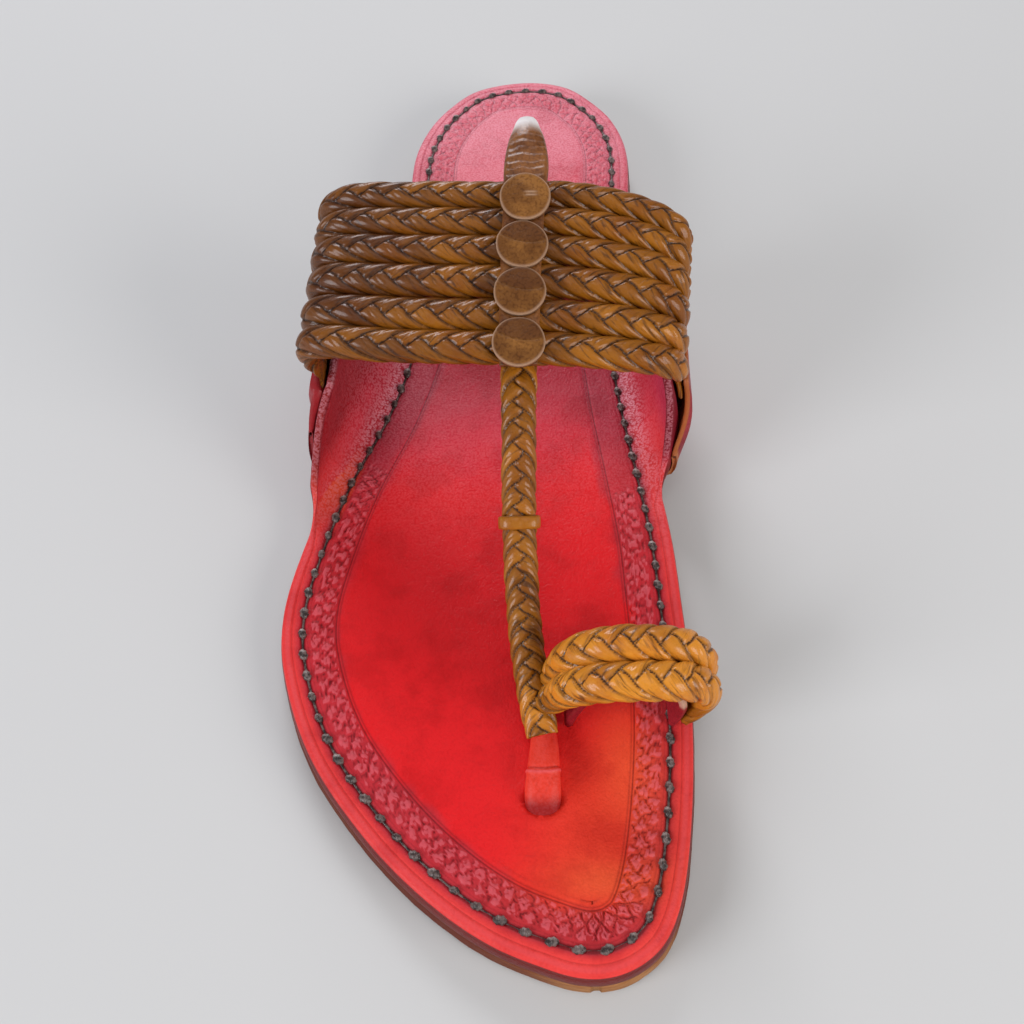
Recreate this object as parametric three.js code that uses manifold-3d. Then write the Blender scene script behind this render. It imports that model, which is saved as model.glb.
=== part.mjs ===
// Kolhapuri sandal for the right foot, standing empty on its sole. Millimetres, +Z up.
// The toe points to -Y, the heel to +Y, and the big-toe (medial) side is +X.
import * as THREE from 'three';
import { mergeVertices } from 'three/addons/utils/BufferGeometryUtils.js';
import Module from 'manifold-3d';

const wasm = await Module();
wasm.setup();

const LENGTH = 264.4; // top edge of the sole, toe to heel
const GAP = 0.3; // between neighbouring pieces
const OUTSOLE_THICK = 3.4;
const INSOLE_THICK = 4.6;
const HEEL_HEIGHT = 6; // how far the heel lift raises the outsole
const WALL_FLARE = 0.14; // outward run of the sole's wall for each millimetre down
const RIM = 0.8; // rounding of the top edge
const STITCH_INSET = 4.7; // sole's top edge to the stitch line
const FLAT_TOE_END = -100; // the sole leaves the floor in front of this
const TOE_SPRING = 1.5; // rise of the tip
const WAIST = { front: 10, back: 64 }; // where the outsole climbs onto the heel lift
const HEEL_BREAST = 70; // front face of the heel lift
const HEEL_INSET = 0.6; // the lift stands in a little from the outsole's wall
const TIP_ANGLE = 0.04; // first and last ring of the outline, just short of the tips

const EAR_THICK = 1.7; // wall of the wings that curl up from the top sole
const EAR_FRONT = -13; // front edge of both ears
const EAR_BACK = 25;
const EAR_BELLY = 2.2; // extra belly of its front and back edges
const EAR_OUTER_THICK = 1.1; // outer ear, which traps the cord ends
const EAR_OUTER_ROOT = 0.9; // the outer ear starts this far down the wall of the sole
const CORD_POCKET = 2.2; // room between the two ear layers

const CORD_WIDTH = 6.1; // braided cords, across the band
const CORD_END_THICK = 1.5; // their ends are beaten flat between the ear layers
const BAND_SLOPE = THREE.MathUtils.degToRad(20); // the band climbs towards the heel
const ROW_PLACES = [0, 0.205, 0.425, 0.63, 0.82, 1]; // front cord to back cord

// Top edge of the sole: lateral and medial x at each y.
const outlineRows = [
  { y: -132.2, lateral: 18, medial: 18 },
  { y: -130.1, lateral: 8.6, medial: 26.2 },
  { y: -126, lateral: -1.0, medial: 31.2 },
  { y: -118, lateral: -12.7, medial: 35.2 },
  { y: -104, lateral: -26.8, medial: 38.5 },
  { y: -86, lateral: -39.3, medial: 40.9 },
  { y: -66, lateral: -46.4, medial: 42 },
  { y: -52, lateral: -47.4, medial: 41.9 },
  { y: -36, lateral: -44.5, medial: 41.5 },
  { y: -16, lateral: -38.8, medial: 39.6 },
  { y: 6, lateral: -30.1, medial: 37.3 },
  { y: 30, lateral: -23.9, medial: 36 },
  { y: 56, lateral: -21.9, medial: 37.3 },
  { y: 80, lateral: -22.2, medial: 40.3 },
  { y: 98, lateral: -21.2, medial: 41 },
  { y: 112, lateral: -16.8, medial: 37.7 },
  { y: 122, lateral: -10.3, medial: 31.6 },
  { y: 129, lateral: -2.5, medial: 24.6 },
  { y: 132.2, lateral: 12.2, medial: 12.2 },
];

// Top edge of each ear: inner x at its front and back ends, and its height above the top sole there.
// reach is how far the ear bellies out beyond the sole's edge. pinch is where the outer ear leaves the
// inner one, up its section and along the foot; tucks are the places up the section of the cord ends.
const ears = {
  lateral: {
    side: -1, start: -36, end: 48, reach: 6.4, frontX: -33.8, backX: -30.4, frontRise: 31, backRise: 38,
    pinch: { low: 0.74, high: 0.9, front: -15, full: -10.5 }, tucks: [0.9, 0.94, 0.985],
  },
  medial: {
    side: 1, start: -27, end: 44, reach: 8.6, frontX: 39.2, backX: 42, frontRise: 30, backRise: 38,
    pinch: { low: 0.62, high: 0.84, front: -18, full: -12.4 }, tucks: [0.85, 0.92, 0.98],
  },
};

// Centre line of the front and the back cord of the instep band, between the two ears.
const bandRows = [
  { front: [-38, -10.4, 47.4], back: [-34, 20.3, 57] },
  { front: [-36.8, -11.3, 51.2], back: [-32.6, 20.5, 60.6] },
  { front: [-32.6, -12.9, 53.2], back: [-28.6, 20, 63.2] },
  { front: [-18, -15.6, 54], back: [-14, 17.6, 65.4] },
  { front: [-1, -17.2, 54.3], back: [2.7, 15.9, 66] },
  { front: [14, -17.8, 53.8], back: [17, 16.2, 65.3] },
  { front: [27, -18.1, 52.1], back: [30, 15.6, 63] },
  { front: [37.2, -17.2, 48.6], back: [40, 13.8, 59.6] },
  { front: [41.4, -15.4, 44.6], back: [44.2, 12, 56.2] },
];
const cordEnds = { lateral: { front: -9, back: 19 }, medial: { front: -10.5, back: 11.5 } };

// The long braid from the band to the toe: centre line, half width and half thickness.
const toeStrapRows = [
  { at: [7.4, -7, 50.6], wide: 3.4, thick: 1.2 },
  { at: [7.4, -16, 49.6], wide: 3.4, thick: 1.9 },
  { at: [7.2, -23.5, 48.2], wide: 3.3, thick: 2.3 },
  { at: [6.9, -32, 43.6], wide: 3.2, thick: 2.4 },
  { at: [6.4, -46.6, 32.4], wide: 3.1, thick: 2.4 },
  { at: [6.7, -63, 21.6], wide: 3.1, thick: 2.4 },
  { at: [8, -75.5, 14.4], wide: 3.1, thick: 2.4 },
  { at: [9.3, -82.5, 11.5], wide: 3, thick: 1.9 },
  { at: [9.8, -85.2, 10.7], wide: 2.8, thick: 1.3 },
];
// Ring of leather round it: place along the braid, half sizes of its hole, wall and half length.
const KEEPER = { place: 0.5, wide: 3.75, thick: 3.05, wall: 0.9, half: 1.3, corners: 16 };

// The two cords of the toe loop: x, the y of the back and the front cord, z, half width and half thickness.
const toeLoopRows = [
  { x: 9.4, back: -75.5, front: -78, z: 13, wide: 2.4, thick: 1.8 },
  { x: 11.6, back: -75, front: -79.2, z: 15.4, wide: 2.8, thick: 2.4 },
  { x: 13.4, back: -74.8, front: -80.2, z: 19.8, wide: 3.1, thick: 2.8 },
  { x: 15.4, back: -75.1, front: -81.7, z: 25.2, wide: 3.4, thick: 3 },
  { x: 20.6, back: -75.5, front: -83, z: 30.2, wide: 3.6, thick: 3.1 },
  { x: 27.5, back: -75.7, front: -83.6, z: 31.8, wide: 3.6, thick: 3.1 },
  { x: 34.4, back: -75.6, front: -83.4, z: 31, wide: 3.6, thick: 3.1 },
  { x: 40, back: -75.4, front: -82.5, z: 27.8, wide: 3.4, thick: 3 },
  { x: 42.6, back: -75.6, front: -81.8, z: 23.2, wide: 3.2, thick: 2.8 },
  { x: 42.4, back: -76.1, front: -81.4, z: 18.8, wide: 3, thick: 2.3 },
  { x: 41, back: -76.6, front: -81.2, z: 14.6, wide: 2.8, thick: 1.6 },
  { x: 39.3, back: -77, front: -81, z: 11, wide: 2.6, thick: 1.1 },
];

// Strip of lining leather under the toe loop: x and z of its middle, half width along the foot.
const LINING_THICK = 1.6;
const LINING_MIDDLE = -79.3;
const liningRows = [
  { x: 15.2, z: 9.2, wide: 4.4 },
  { x: 16.5, z: 15, wide: 5 },
  { x: 18.4, z: 21, wide: 5.8 },
  { x: 20.4, z: 24.2, wide: 6.2 },
  { x: 23.4, z: 26.4, wide: 6.4 },
  { x: 28, z: 27.2, wide: 6.4 },
  { x: 33, z: 26.4, wide: 6.4 },
  { x: 36.6, z: 23.6, wide: 6 },
  { x: 38.1, z: 19, wide: 5.6 },
  { x: 37.8, z: 13.6, wide: 5 },
  { x: 36.8, z: 9.2, wide: 4.6 },
];

// Strap down the middle of the band, and its free tail behind: centre line and half width.
const SPINE_THICK = 1.4;
const spineRows = [
  { at: [7.3, -23.2, 55.1], wide: 3.9 },
  { at: [7.6, -18.4, 57.4], wide: 4.2 },
  { at: [8.6, -1.4, 63.7], wide: 4.3 },
  { at: [9.8, 12.4, 68.5], wide: 4.5 },
  { at: [10.4, 19.6, 70.6], wide: 4.8 },
  { at: [10.7, 26.4, 71.4], wide: 4.1 },
  { at: [10.9, 32.6, 70.5], wide: 2.9 },
  { at: [11, 37.6, 67.8], wide: 1.8 },
  { at: [11, 40.6, 64.9], wide: 1.2 },
  { at: [11, 41.6, 63.6], wide: 0.7 },
];

const DISC = { radius: 5.4, edge: 1.1, dome: 0.5, lift: 4.75 };
const discPlaces = [
  { x: 9.9, along: 0.905 },
  { x: 8.9, along: 0.59 },
  { x: 8.1, along: 0.285 },
  { x: 7.5, along: -0.035 },
];

// Red sleeve from the end of the braid to the hole in the top sole: height above the sole and half sizes.
const HOLE = { x: 9.3, y: -98, wide: 4.4, long: 3.6 };
const sleeveRows = [
  { x: 10, y: -86, lift: 2.3, wide: 2.6, thick: 1.2 },
  { x: 9.9, y: -89, lift: 2.4, wide: 3, thick: 1.9 },
  { x: 9.6, y: -93, lift: 2.6, wide: 3.4, thick: 2.1 },
  { x: 9.4, y: -96, lift: 1.9, wide: 3.7, thick: 2.1 },
  { x: 9.3, y: -98.6, lift: 0.4, wide: 3.7, thick: 2 },
  { x: 9.3, y: -100, lift: -1.2, wide: 3, thick: 1.3 },
];

// A smooth curve through rows of numbers: Hermite pieces with slopes from the neighbours.
function smoothThrough(places, values, at) {
  const last = places.length - 1;
  let i = 0;
  while (i < last - 1 && at > places[i + 1]) i += 1;
  const slope = (j) => {
    const a = Math.max(0, j - 1);
    const b = Math.min(last, j + 1);
    return (values[b] - values[a]) / (places[b] - places[a]);
  };
  const span = places[i + 1] - places[i];
  const t = THREE.MathUtils.clamp((at - places[i]) / span, 0, 1);
  const t2 = t * t;
  const t3 = t2 * t;
  return (2 * t3 - 3 * t2 + 1) * values[i] + (t3 - 2 * t2 + t) * span * slope(i)
    + (3 * t2 - 2 * t3) * values[i + 1] + (t3 - t2) * span * slope(i + 1);
}

// The outline is drawn by an angle that runs from 0 at the toe to pi at the heel.
const angleAt = (y) => Math.acos(THREE.MathUtils.clamp(-y / (LENGTH / 2), -1, 1));
const outlineAngles = outlineRows.map((row) => angleAt(row.y));
const outlineX = {
  lateral: outlineRows.map((row) => row.lateral),
  medial: outlineRows.map((row) => row.medial),
};

function edgePoint(side, angle) {
  const y = (-LENGTH / 2) * Math.cos(angle);
  return new THREE.Vector2(smoothThrough(outlineAngles, outlineX[side], angle), y);
}

// A point of the outline moved outwards (or inwards, if negative) along its own normal.
function railPoint(side, angle, outwards) {
  const step = 0.02;
  const before = edgePoint(side, Math.max(0, angle - step));
  const after = edgePoint(side, Math.min(Math.PI, angle + step));
  const run = after.sub(before).normalize();
  const normal = side === 'medial' ? new THREE.Vector2(run.y, -run.x) : new THREE.Vector2(-run.y, run.x);
  return edgePoint(side, angle).addScaledVector(normal, outwards);
}

// Height of the outsole's underside: flat, with a little toe spring and the climb onto the heel lift.
function undersideZ(y) {
  const spring = Math.max(0, FLAT_TOE_END - y) / (LENGTH / 2 + FLAT_TOE_END);
  const climb = THREE.MathUtils.smoothstep(y, WAIST.front, WAIST.back);
  return TOE_SPRING * spring * spring + HEEL_HEIGHT * climb;
}

const insoleBottomZ = (y) => undersideZ(y) + OUTSOLE_THICK + GAP;
const insoleTopZ = (y) => insoleBottomZ(y) + INSOLE_THICK;

// A closed body through rings of equal length; each end is closed across from its first half to its second.
function loft(rings) {
  const count = rings[0].length;
  const positions = rings.flat().flatMap((point) => [point.x, point.y, point.z]);
  const index = [];
  for (let i = 0; i < rings.length - 1; i += 1) {
    for (let j = 0; j < count; j += 1) {
      const a = i * count + j;
      const b = i * count + ((j + 1) % count);
      index.push(a, b, b + count, a, b + count, a + count);
    }
  }
  const closeEnd = (first, flip) => {
    for (let j = 0; j < count / 2 - 1; j += 1) {
      const quad = [j, j + 1, count - 2 - j, count - 1 - j].map((k) => first + k);
      const faces = [[quad[0], quad[2], quad[1]], [quad[0], quad[3], quad[2]]];
      for (const face of faces) {
        if (new Set(face).size === 3) index.push(...(flip ? face.reverse() : face));
      }
    }
  };
  closeEnd(0, false);
  closeEnd((rings.length - 1) * count, true);
  const geometry = new THREE.BufferGeometry();
  geometry.setAttribute('position', new THREE.Float32BufferAttribute(positions, 3));
  geometry.setIndex(index);
  return facingOut(geometry);
}

// Turns the faces round if the body was lofted inside out.
function facingOut(geometry) {
  const { position } = geometry.attributes;
  const { index } = geometry;
  const corner = [0, 1, 2].map(() => new THREE.Vector3());
  let volume = 0;
  for (let i = 0; i < index.count; i += 3) {
    corner.forEach((vertex, k) => vertex.fromBufferAttribute(position, index.getX(i + k)));
    volume += corner[0].dot(corner[1].clone().cross(corner[2]));
  }
  if (volume < 0) index.array.reverse();
  geometry.computeVertexNormals();
  return geometry;
}

function toSolid(geometry) {
  const bare = geometry.clone();
  bare.deleteAttribute('normal');
  bare.deleteAttribute('uv');
  const merged = mergeVertices(bare);
  const vertProperties = new Float32Array(merged.attributes.position.array);
  const triVerts = new Uint32Array(merged.index.array);
  return new wasm.Manifold(new wasm.Mesh({ numProp: 3, vertProperties, triVerts }));
}

function toGeometry(solid) {
  const mesh = solid.getMesh();
  const geometry = new THREE.BufferGeometry();
  geometry.setAttribute('position', new THREE.Float32BufferAttribute(mesh.vertProperties, 3));
  geometry.setIndex(new THREE.Uint32BufferAttribute(mesh.triVerts, 1));
  geometry.computeVertexNormals();
  return geometry;
}

// A flat sole layer between two heights, following the outline.
function soleLayer(angles, growth, bottomZ, topZ) {
  const layerEdges = (side, angle) => {
    const high = railPoint(side, angle, growth);
    const low = railPoint(side, angle, growth + WALL_FLARE * (topZ(high.y) - bottomZ(high.y)));
    return [
      new THREE.Vector3(low.x, low.y, bottomZ(low.y)),
      new THREE.Vector3(high.x, high.y, topZ(high.y)),
    ];
  };
  return loft(angles.map((angle) => {
    const [lateralLow, lateralHigh] = layerEdges('lateral', angle);
    const [medialLow, medialHigh] = layerEdges('medial', angle);
    return [lateralLow, medialLow, medialHigh, lateralHigh];
  }));
}

const evenAngles = (from, to, count) => Array.from(
  { length: count + 1 },
  (_, i) => THREE.MathUtils.lerp(from, to, i / count),
);

// How high an ear stands at y, from 0 at its ends to 1: a quarter-round sweep up at front and back.
function earShare(ear, y) {
  const sweep = (s) => 1 - Math.sqrt(1 - THREE.MathUtils.clamp(s, 0, 1) ** 2);
  const front = sweep((y - ear.start) / (EAR_FRONT - ear.start));
  const back = sweep((ear.end - y) / (ear.end - EAR_BACK));
  return Math.min(front, back);
}

// An ear's section at one angle of the outline: a quadratic curve from the stitch line, out and up.
function earSection(sideName, angle) {
  const ear = ears[sideName];
  const edge = railPoint(sideName, angle, 0);
  const share = earShare(ear, edge.y);
  const along = THREE.MathUtils.clamp((edge.y - EAR_FRONT) / (EAR_BACK - EAR_FRONT), 0, 1);
  const base = railPoint(sideName, angle, -STITCH_INSET);
  const rim = railPoint(sideName, angle, -RIM);
  const z = insoleTopZ(edge.y);
  const tip = new THREE.Vector2(
    THREE.MathUtils.lerp(rim.x, THREE.MathUtils.lerp(ear.frontX, ear.backX, along), share * share)
      + ear.side * EAR_BELLY * 4 * share * (1 - share),
    z + share * THREE.MathUtils.lerp(ear.frontRise, ear.backRise, along),
  );
  const start = new THREE.Vector2(base.x, z);
  const bend = new THREE.Vector2(
    THREE.MathUtils.lerp((base.x + tip.x) / 2, edge.x + ear.side * ear.reach, Math.sqrt(share)),
    z,
  );
  const curve = new THREE.QuadraticBezierCurve(start, bend, tip);
  // A point at v along the section, moved outwards through the wall.
  const at = (v, outwards) => {
    const point = curve.getPoint(v);
    const run = curve.getTangent(v);
    point.x += ear.side * run.y * outwards;
    point.y -= ear.side * run.x * outwards;
    const y = THREE.MathUtils.lerp(base.y, THREE.MathUtils.lerp(rim.y, edge.y, share), v);
    return new THREE.Vector3(point.x, y, point.y);
  };
  return { at, share };
}

// The top sole's ring at one angle: flat in the middle, with an ear or a rounded rim at each side.
function insoleRing(angle) {
  const halfRing = (side) => {
    const section = earSection(side, angle);
    const inner = [0, 0.25, 0.5, 0.75, 1].map((v) => section.at(v, 0));
    inner.forEach((point) => {
      point.z = section.share > 0 ? point.z : insoleTopZ(point.y);
    });
    const onWall = (depth) => {
      const point = railPoint(side, angle, WALL_FLARE * depth);
      return new THREE.Vector3(point.x, point.y, insoleTopZ(point.y) - depth);
    };
    // The wall's top points (place on the ear, depth down the plain wall) climb to become the ear's back.
    const raised = Math.min(1, section.share * 5);
    const outer = [[1, RIM - 0.1], [0.8, RIM + 0.05], [0.6, RIM + 0.2]].map(([v, depth]) => (
      onWall(depth).lerp(section.at(v, EAR_THICK), raised)
    ));
    return [...inner, ...outer, onWall(RIM + 0.4), onWall(INSOLE_THICK)];
  };
  return [...halfRing('lateral'), ...halfRing('medial').reverse()];
}

function insoleGeometry() {
  // Rings crowd together where the ears sweep up, so that the sweep stays round.
  const angles = [
    ...evenAngles(TIP_ANGLE, angleAt(-42), 15),
    ...[-36, -31, -27, -23.5, -20.5, -18, -16, -14.6, -13.6, EAR_FRONT].map(angleAt),
    ...[-7, -1, 5, 11, 17, 21].map(angleAt),
    ...[EAR_BACK, 25.7, 27, 29.5, 33, 37, 41, 44.5, 48].map(angleAt),
    ...evenAngles(angleAt(54), Math.PI - TIP_ANGLE, 12),
  ];
  const plate = toSolid(loft(angles.map(insoleRing)));
  const punch = new THREE.CylinderGeometry(1, 1, 30, 24);
  punch.rotateX(Math.PI / 2);
  punch.scale(HOLE.wide, HOLE.long, 1);
  punch.translate(HOLE.x, HOLE.y, 0);
  return toGeometry(plate.subtract(toSolid(punch)));
}

// Outer layer of an ear: from just outside the sole's edge, up over the flattened cord ends.
function outerEarGeometry(sideName) {
  const ear = ears[sideName];
  const { low, high, front, full } = ear.pinch;
  const stations = [
    ...[0, 0.3, 0.6, 0.85, 1.05].map((share) => THREE.MathUtils.lerp(front, full, share)),
    ...[-5, 1, 7, 13, 19, EAR_BACK, 26, 28, 31],
  ];
  return loft(stations.map((y) => {
    const angle = angleAt(y);
    const section = earSection(sideName, angle);
    const pocket = CORD_POCKET * THREE.MathUtils.smoothstep(y, front, full)
      * (1 - THREE.MathUtils.smoothstep(y, 22, 29));
    const root = (outwards) => {
      const point = railPoint(sideName, angle, WALL_FLARE + outwards);
      return new THREE.Vector3(point.x, point.y, insoleTopZ(point.y) - EAR_OUTER_ROOT);
    };
    const wall = (outwards) => [
      root(outwards),
      ...[0.54, (low + high) / 2, high, 0.95].map((v) => (
        section.at(v, EAR_THICK + outwards + pocket * THREE.MathUtils.smoothstep(v, low, high))
      )),
    ];
    const ring = [...wall(GAP), ...wall(GAP + EAR_OUTER_THICK).reverse()];
    return ear.side > 0 ? ring : ring.reverse();
  }));
}

const curveThrough = (points) => new THREE.CatmullRomCurve3(points, false, 'centripetal');

// A cord swept along its centre line. across points over the cord's width; rows give half sizes.
function cordGeometry(rows, across, steps, corners = 8) {
  const curve = curveThrough(rows.map((row) => new THREE.Vector3(...row.at)));
  const places = rows.map((_, i) => i / (rows.length - 1));
  const rings = [];
  for (let i = 0; i <= steps; i += 1) {
    const t = i / steps;
    const middle = curve.getPoint(t);
    const run = curve.getTangent(t);
    const wideWay = across.clone().addScaledVector(run, -across.dot(run)).normalize();
    const thickWay = new THREE.Vector3().crossVectors(run, wideWay);
    const wide = smoothThrough(places, rows.map((row) => row.wide), t);
    const thick = smoothThrough(places, rows.map((row) => row.thick), t);
    rings.push(Array.from({ length: corners }, (_, k) => {
      const turn = (2 * Math.PI * (k + 0.5)) / corners;
      return middle.clone()
        .addScaledVector(wideWay, wide * Math.cos(turn))
        .addScaledVector(thickWay, thick * Math.sin(turn));
    }));
  }
  return loft(rings);
}

// A flat strap swept the same way, with a plain four-sided section.
function strapGeometry(rows, across, thick, steps) {
  const curve = curveThrough(rows.map((row) => new THREE.Vector3(...row.at)));
  const places = rows.map((_, i) => i / (rows.length - 1));
  const rings = [];
  for (let i = 0; i <= steps; i += 1) {
    const t = i / steps;
    const middle = curve.getPoint(t);
    const up = new THREE.Vector3().crossVectors(across, curve.getTangent(t)).normalize();
    const wide = smoothThrough(places, rows.map((row) => row.wide), t);
    rings.push([[-1, -1], [1, -1], [1, 1], [-1, 1]].map(([a, b]) => (
      middle.clone().addScaledVector(across, a * wide).addScaledVector(up, (b * thick) / 2)
    )));
  }
  return loft(rings);
}

// One cord of the instep band, its ends beaten flat and tucked down between the ear layers.
function bandCordRows(place) {
  const half = CORD_WIDTH / 2;
  const tuck = (side, v, thick) => {
    const y = THREE.MathUtils.lerp(cordEnds[side].front, cordEnds[side].back, place);
    const middle = earSection(side, angleAt(y)).at(v, EAR_THICK + CORD_POCKET / 2 + 0.05);
    return { at: middle.toArray(), wide: half - 0.2, thick };
  };
  const thin = CORD_END_THICK / 2;
  const arch = bandRows.map((row) => ({
    at: row.front.map((value, k) => THREE.MathUtils.lerp(value, row.back[k], place)),
    wide: half,
    thick: half,
  }));
  return [
    ...ears.lateral.tucks.map((v) => tuck('lateral', v, thin)),
    ...arch,
    ...[...ears.medial.tucks].reverse().map((v) => tuck('medial', v, thin)),
  ];
}

const upBand = new THREE.Vector3(0, Math.cos(BAND_SLOPE), Math.sin(BAND_SLOPE));
const sideways = new THREE.Vector3(1, 0, 0);
const footwise = new THREE.Vector3(0, 1, 0);

function upperGeometry() {
  const pieces = ROW_PLACES.map((place) => cordGeometry(bandCordRows(place), upBand, 34));
  pieces.push(cordGeometry(toeStrapRows, sideways, 22));
  for (const cord of ['back', 'front']) {
    const rows = toeLoopRows.map((row) => ({ ...row, at: [row.x, row[cord], row.z] }));
    pieces.push(cordGeometry(rows, footwise, 24));
  }
  pieces.push(strapGeometry(spineRows, sideways, SPINE_THICK, 20));
  return toGeometry(pieces.map(toSolid).reduce((whole, piece) => whole.add(piece)));
}

// A short ring of leather wrapped round the long braid.
function keeperGeometry() {
  const curve = curveThrough(toeStrapRows.map((row) => new THREE.Vector3(...row.at)));
  const middle = curve.getPoint(KEEPER.place);
  const run = curve.getTangent(KEEPER.place);
  const up = new THREE.Vector3().crossVectors(sideways, run).normalize();
  const { corners } = KEEPER;
  const rings = Array.from({ length: corners }, (_, k) => {
    const turn = (2 * Math.PI * (k + 0.5)) / corners;
    const place = (shift, wall) => middle.clone()
      .addScaledVector(run, shift)
      .addScaledVector(sideways, (KEEPER.wide + wall) * Math.cos(turn))
      .addScaledVector(up, (KEEPER.thick + wall) * Math.sin(turn));
    return [
      place(-KEEPER.half, 0),
      place(KEEPER.half, 0),
      place(KEEPER.half, KEEPER.wall),
      place(-KEEPER.half, KEEPER.wall),
    ];
  });
  const positions = rings.flat().flatMap((point) => point.toArray());
  const index = [];
  for (let i = 0; i < corners; i += 1) {
    for (let j = 0; j < 4; j += 1) {
      const next = (i + 1) % corners;
      const [a, b] = [i * 4 + j, i * 4 + ((j + 1) % 4)];
      const [c, d] = [next * 4 + ((j + 1) % 4), next * 4 + j];
      index.push(a, b, c, a, c, d);
    }
  }
  const geometry = new THREE.BufferGeometry();
  geometry.setAttribute('position', new THREE.Float32BufferAttribute(positions, 3));
  geometry.setIndex(index);
  return facingOut(geometry);
}

// A slightly domed round of leather.
function discGeometry() {
  const { radius, edge, dome } = DISC;
  const profile = [
    [0, 0], [radius, 0], [radius, edge - 0.3], [radius - 0.3, edge], [radius * 0.6, edge + dome * 0.7],
    [0, edge + dome],
  ].map(([x, y]) => new THREE.Vector2(x, y));
  return new THREE.LatheGeometry(profile, 22).rotateX(Math.PI / 2);
}

function sleeveGeometry() {
  const rows = sleeveRows.map((row) => ({ ...row, at: [row.x, row.y, insoleTopZ(row.y) + row.lift] }));
  return cordGeometry(rows, sideways, 12);
}

function liningGeometry() {
  const curve = curveThrough(liningRows.map((row) => new THREE.Vector3(row.x, LINING_MIDDLE, row.z)));
  const places = liningRows.map((_, i) => i / (liningRows.length - 1));
  const steps = 26;
  return loft(Array.from({ length: steps + 1 }, (_, i) => {
    const t = i / steps;
    const middle = curve.getPoint(t);
    const up = new THREE.Vector3().crossVectors(curve.getTangent(t), footwise).normalize();
    const wide = smoothThrough(places, liningRows.map((row) => row.wide), t);
    return [[-1, -1], [1, -1], [1, 1], [-1, 1]].map(([a, b]) => (
      middle.clone().addScaledVector(footwise, a * wide).addScaledVector(up, (b * LINING_THICK) / 2)
    ));
  }));
}

const leather = {
  natural: new THREE.MeshStandardMaterial({ color: 0xb4702f, roughness: 0.7, metalness: 0 }),
  red: new THREE.MeshStandardMaterial({ color: 0xc81f28, roughness: 0.5, metalness: 0 }),
  darkRed: new THREE.MeshStandardMaterial({ color: 0x6d1420, roughness: 0.55, metalness: 0 }),
  braid: new THREE.MeshStandardMaterial({ color: 0x7a4a14, roughness: 0.5, metalness: 0 }),
  disc: new THREE.MeshStandardMaterial({ color: 0x8a5a2b, roughness: 0.8, metalness: 0 }),
};

const sandal = new THREE.Group();

function addPiece(name, geometry, material) {
  const mesh = new THREE.Mesh(geometry, material);
  mesh.name = name;
  sandal.add(mesh);
  return mesh;
}

const outsoleGrowth = WALL_FLARE * (INSOLE_THICK + GAP);
const outsoleTopZ = (y) => undersideZ(y) + OUTSOLE_THICK;
const outsoleAngles = evenAngles(TIP_ANGLE, Math.PI - TIP_ANGLE, 44);
addPiece('outsole', soleLayer(outsoleAngles, outsoleGrowth, undersideZ, outsoleTopZ), leather.natural);

const heelTopZ = (y) => undersideZ(y) - GAP;
const heelGrowth = outsoleGrowth + WALL_FLARE * OUTSOLE_THICK - HEEL_INSET;
const heelAngles = evenAngles(angleAt(HEEL_BREAST), Math.PI - TIP_ANGLE, 14);
addPiece('heel', soleLayer(heelAngles, heelGrowth, () => 0, heelTopZ), leather.natural);

addPiece('insole', insoleGeometry(), leather.red);
addPiece('ear_lateral', outerEarGeometry('lateral'), leather.darkRed);
addPiece('ear_medial', outerEarGeometry('medial'), leather.darkRed);
addPiece('upper', upperGeometry(), leather.braid);
addPiece('keeper_loop', keeperGeometry(), leather.disc);
addPiece('toe_sleeve', sleeveGeometry(), leather.red);
addPiece('toe_loop_lining', liningGeometry(), leather.darkRed);

// The discs sit on the spine strap, square to the band.
const bandTop = bandRows[4];
const bandOut = new THREE.Vector3(0, -Math.sin(BAND_SLOPE), Math.cos(BAND_SLOPE));
discPlaces.forEach(({ x, along }, i) => {
  const disc = addPiece(`disc_${i + 1}`, discGeometry(), leather.disc);
  disc.position.set(...bandTop.front).lerp(new THREE.Vector3(...bandTop.back), along);
  disc.position.addScaledVector(bandOut, DISC.lift).setX(x);
  disc.rotation.x = BAND_SLOPE;
});

export default sandal;
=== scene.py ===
import bmesh
import bpy
import math
import random
import numpy as np
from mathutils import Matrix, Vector, noise


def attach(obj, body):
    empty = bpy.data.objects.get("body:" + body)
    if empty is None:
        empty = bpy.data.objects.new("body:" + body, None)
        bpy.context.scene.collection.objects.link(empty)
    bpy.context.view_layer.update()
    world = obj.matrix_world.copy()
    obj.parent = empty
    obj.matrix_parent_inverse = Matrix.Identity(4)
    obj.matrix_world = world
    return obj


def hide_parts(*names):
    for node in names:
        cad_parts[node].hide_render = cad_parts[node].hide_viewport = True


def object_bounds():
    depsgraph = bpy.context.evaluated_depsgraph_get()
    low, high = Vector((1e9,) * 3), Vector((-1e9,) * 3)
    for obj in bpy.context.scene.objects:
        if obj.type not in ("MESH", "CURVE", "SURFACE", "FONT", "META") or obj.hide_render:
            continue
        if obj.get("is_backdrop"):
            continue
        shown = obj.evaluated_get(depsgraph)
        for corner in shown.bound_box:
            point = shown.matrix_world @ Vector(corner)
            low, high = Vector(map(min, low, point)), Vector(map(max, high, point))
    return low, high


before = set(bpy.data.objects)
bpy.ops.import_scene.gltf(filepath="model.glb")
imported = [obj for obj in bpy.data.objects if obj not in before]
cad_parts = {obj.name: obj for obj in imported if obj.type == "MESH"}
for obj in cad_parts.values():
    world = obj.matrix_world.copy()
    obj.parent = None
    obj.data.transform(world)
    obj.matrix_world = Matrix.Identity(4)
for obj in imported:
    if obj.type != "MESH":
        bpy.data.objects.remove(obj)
cad_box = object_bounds()

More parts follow.
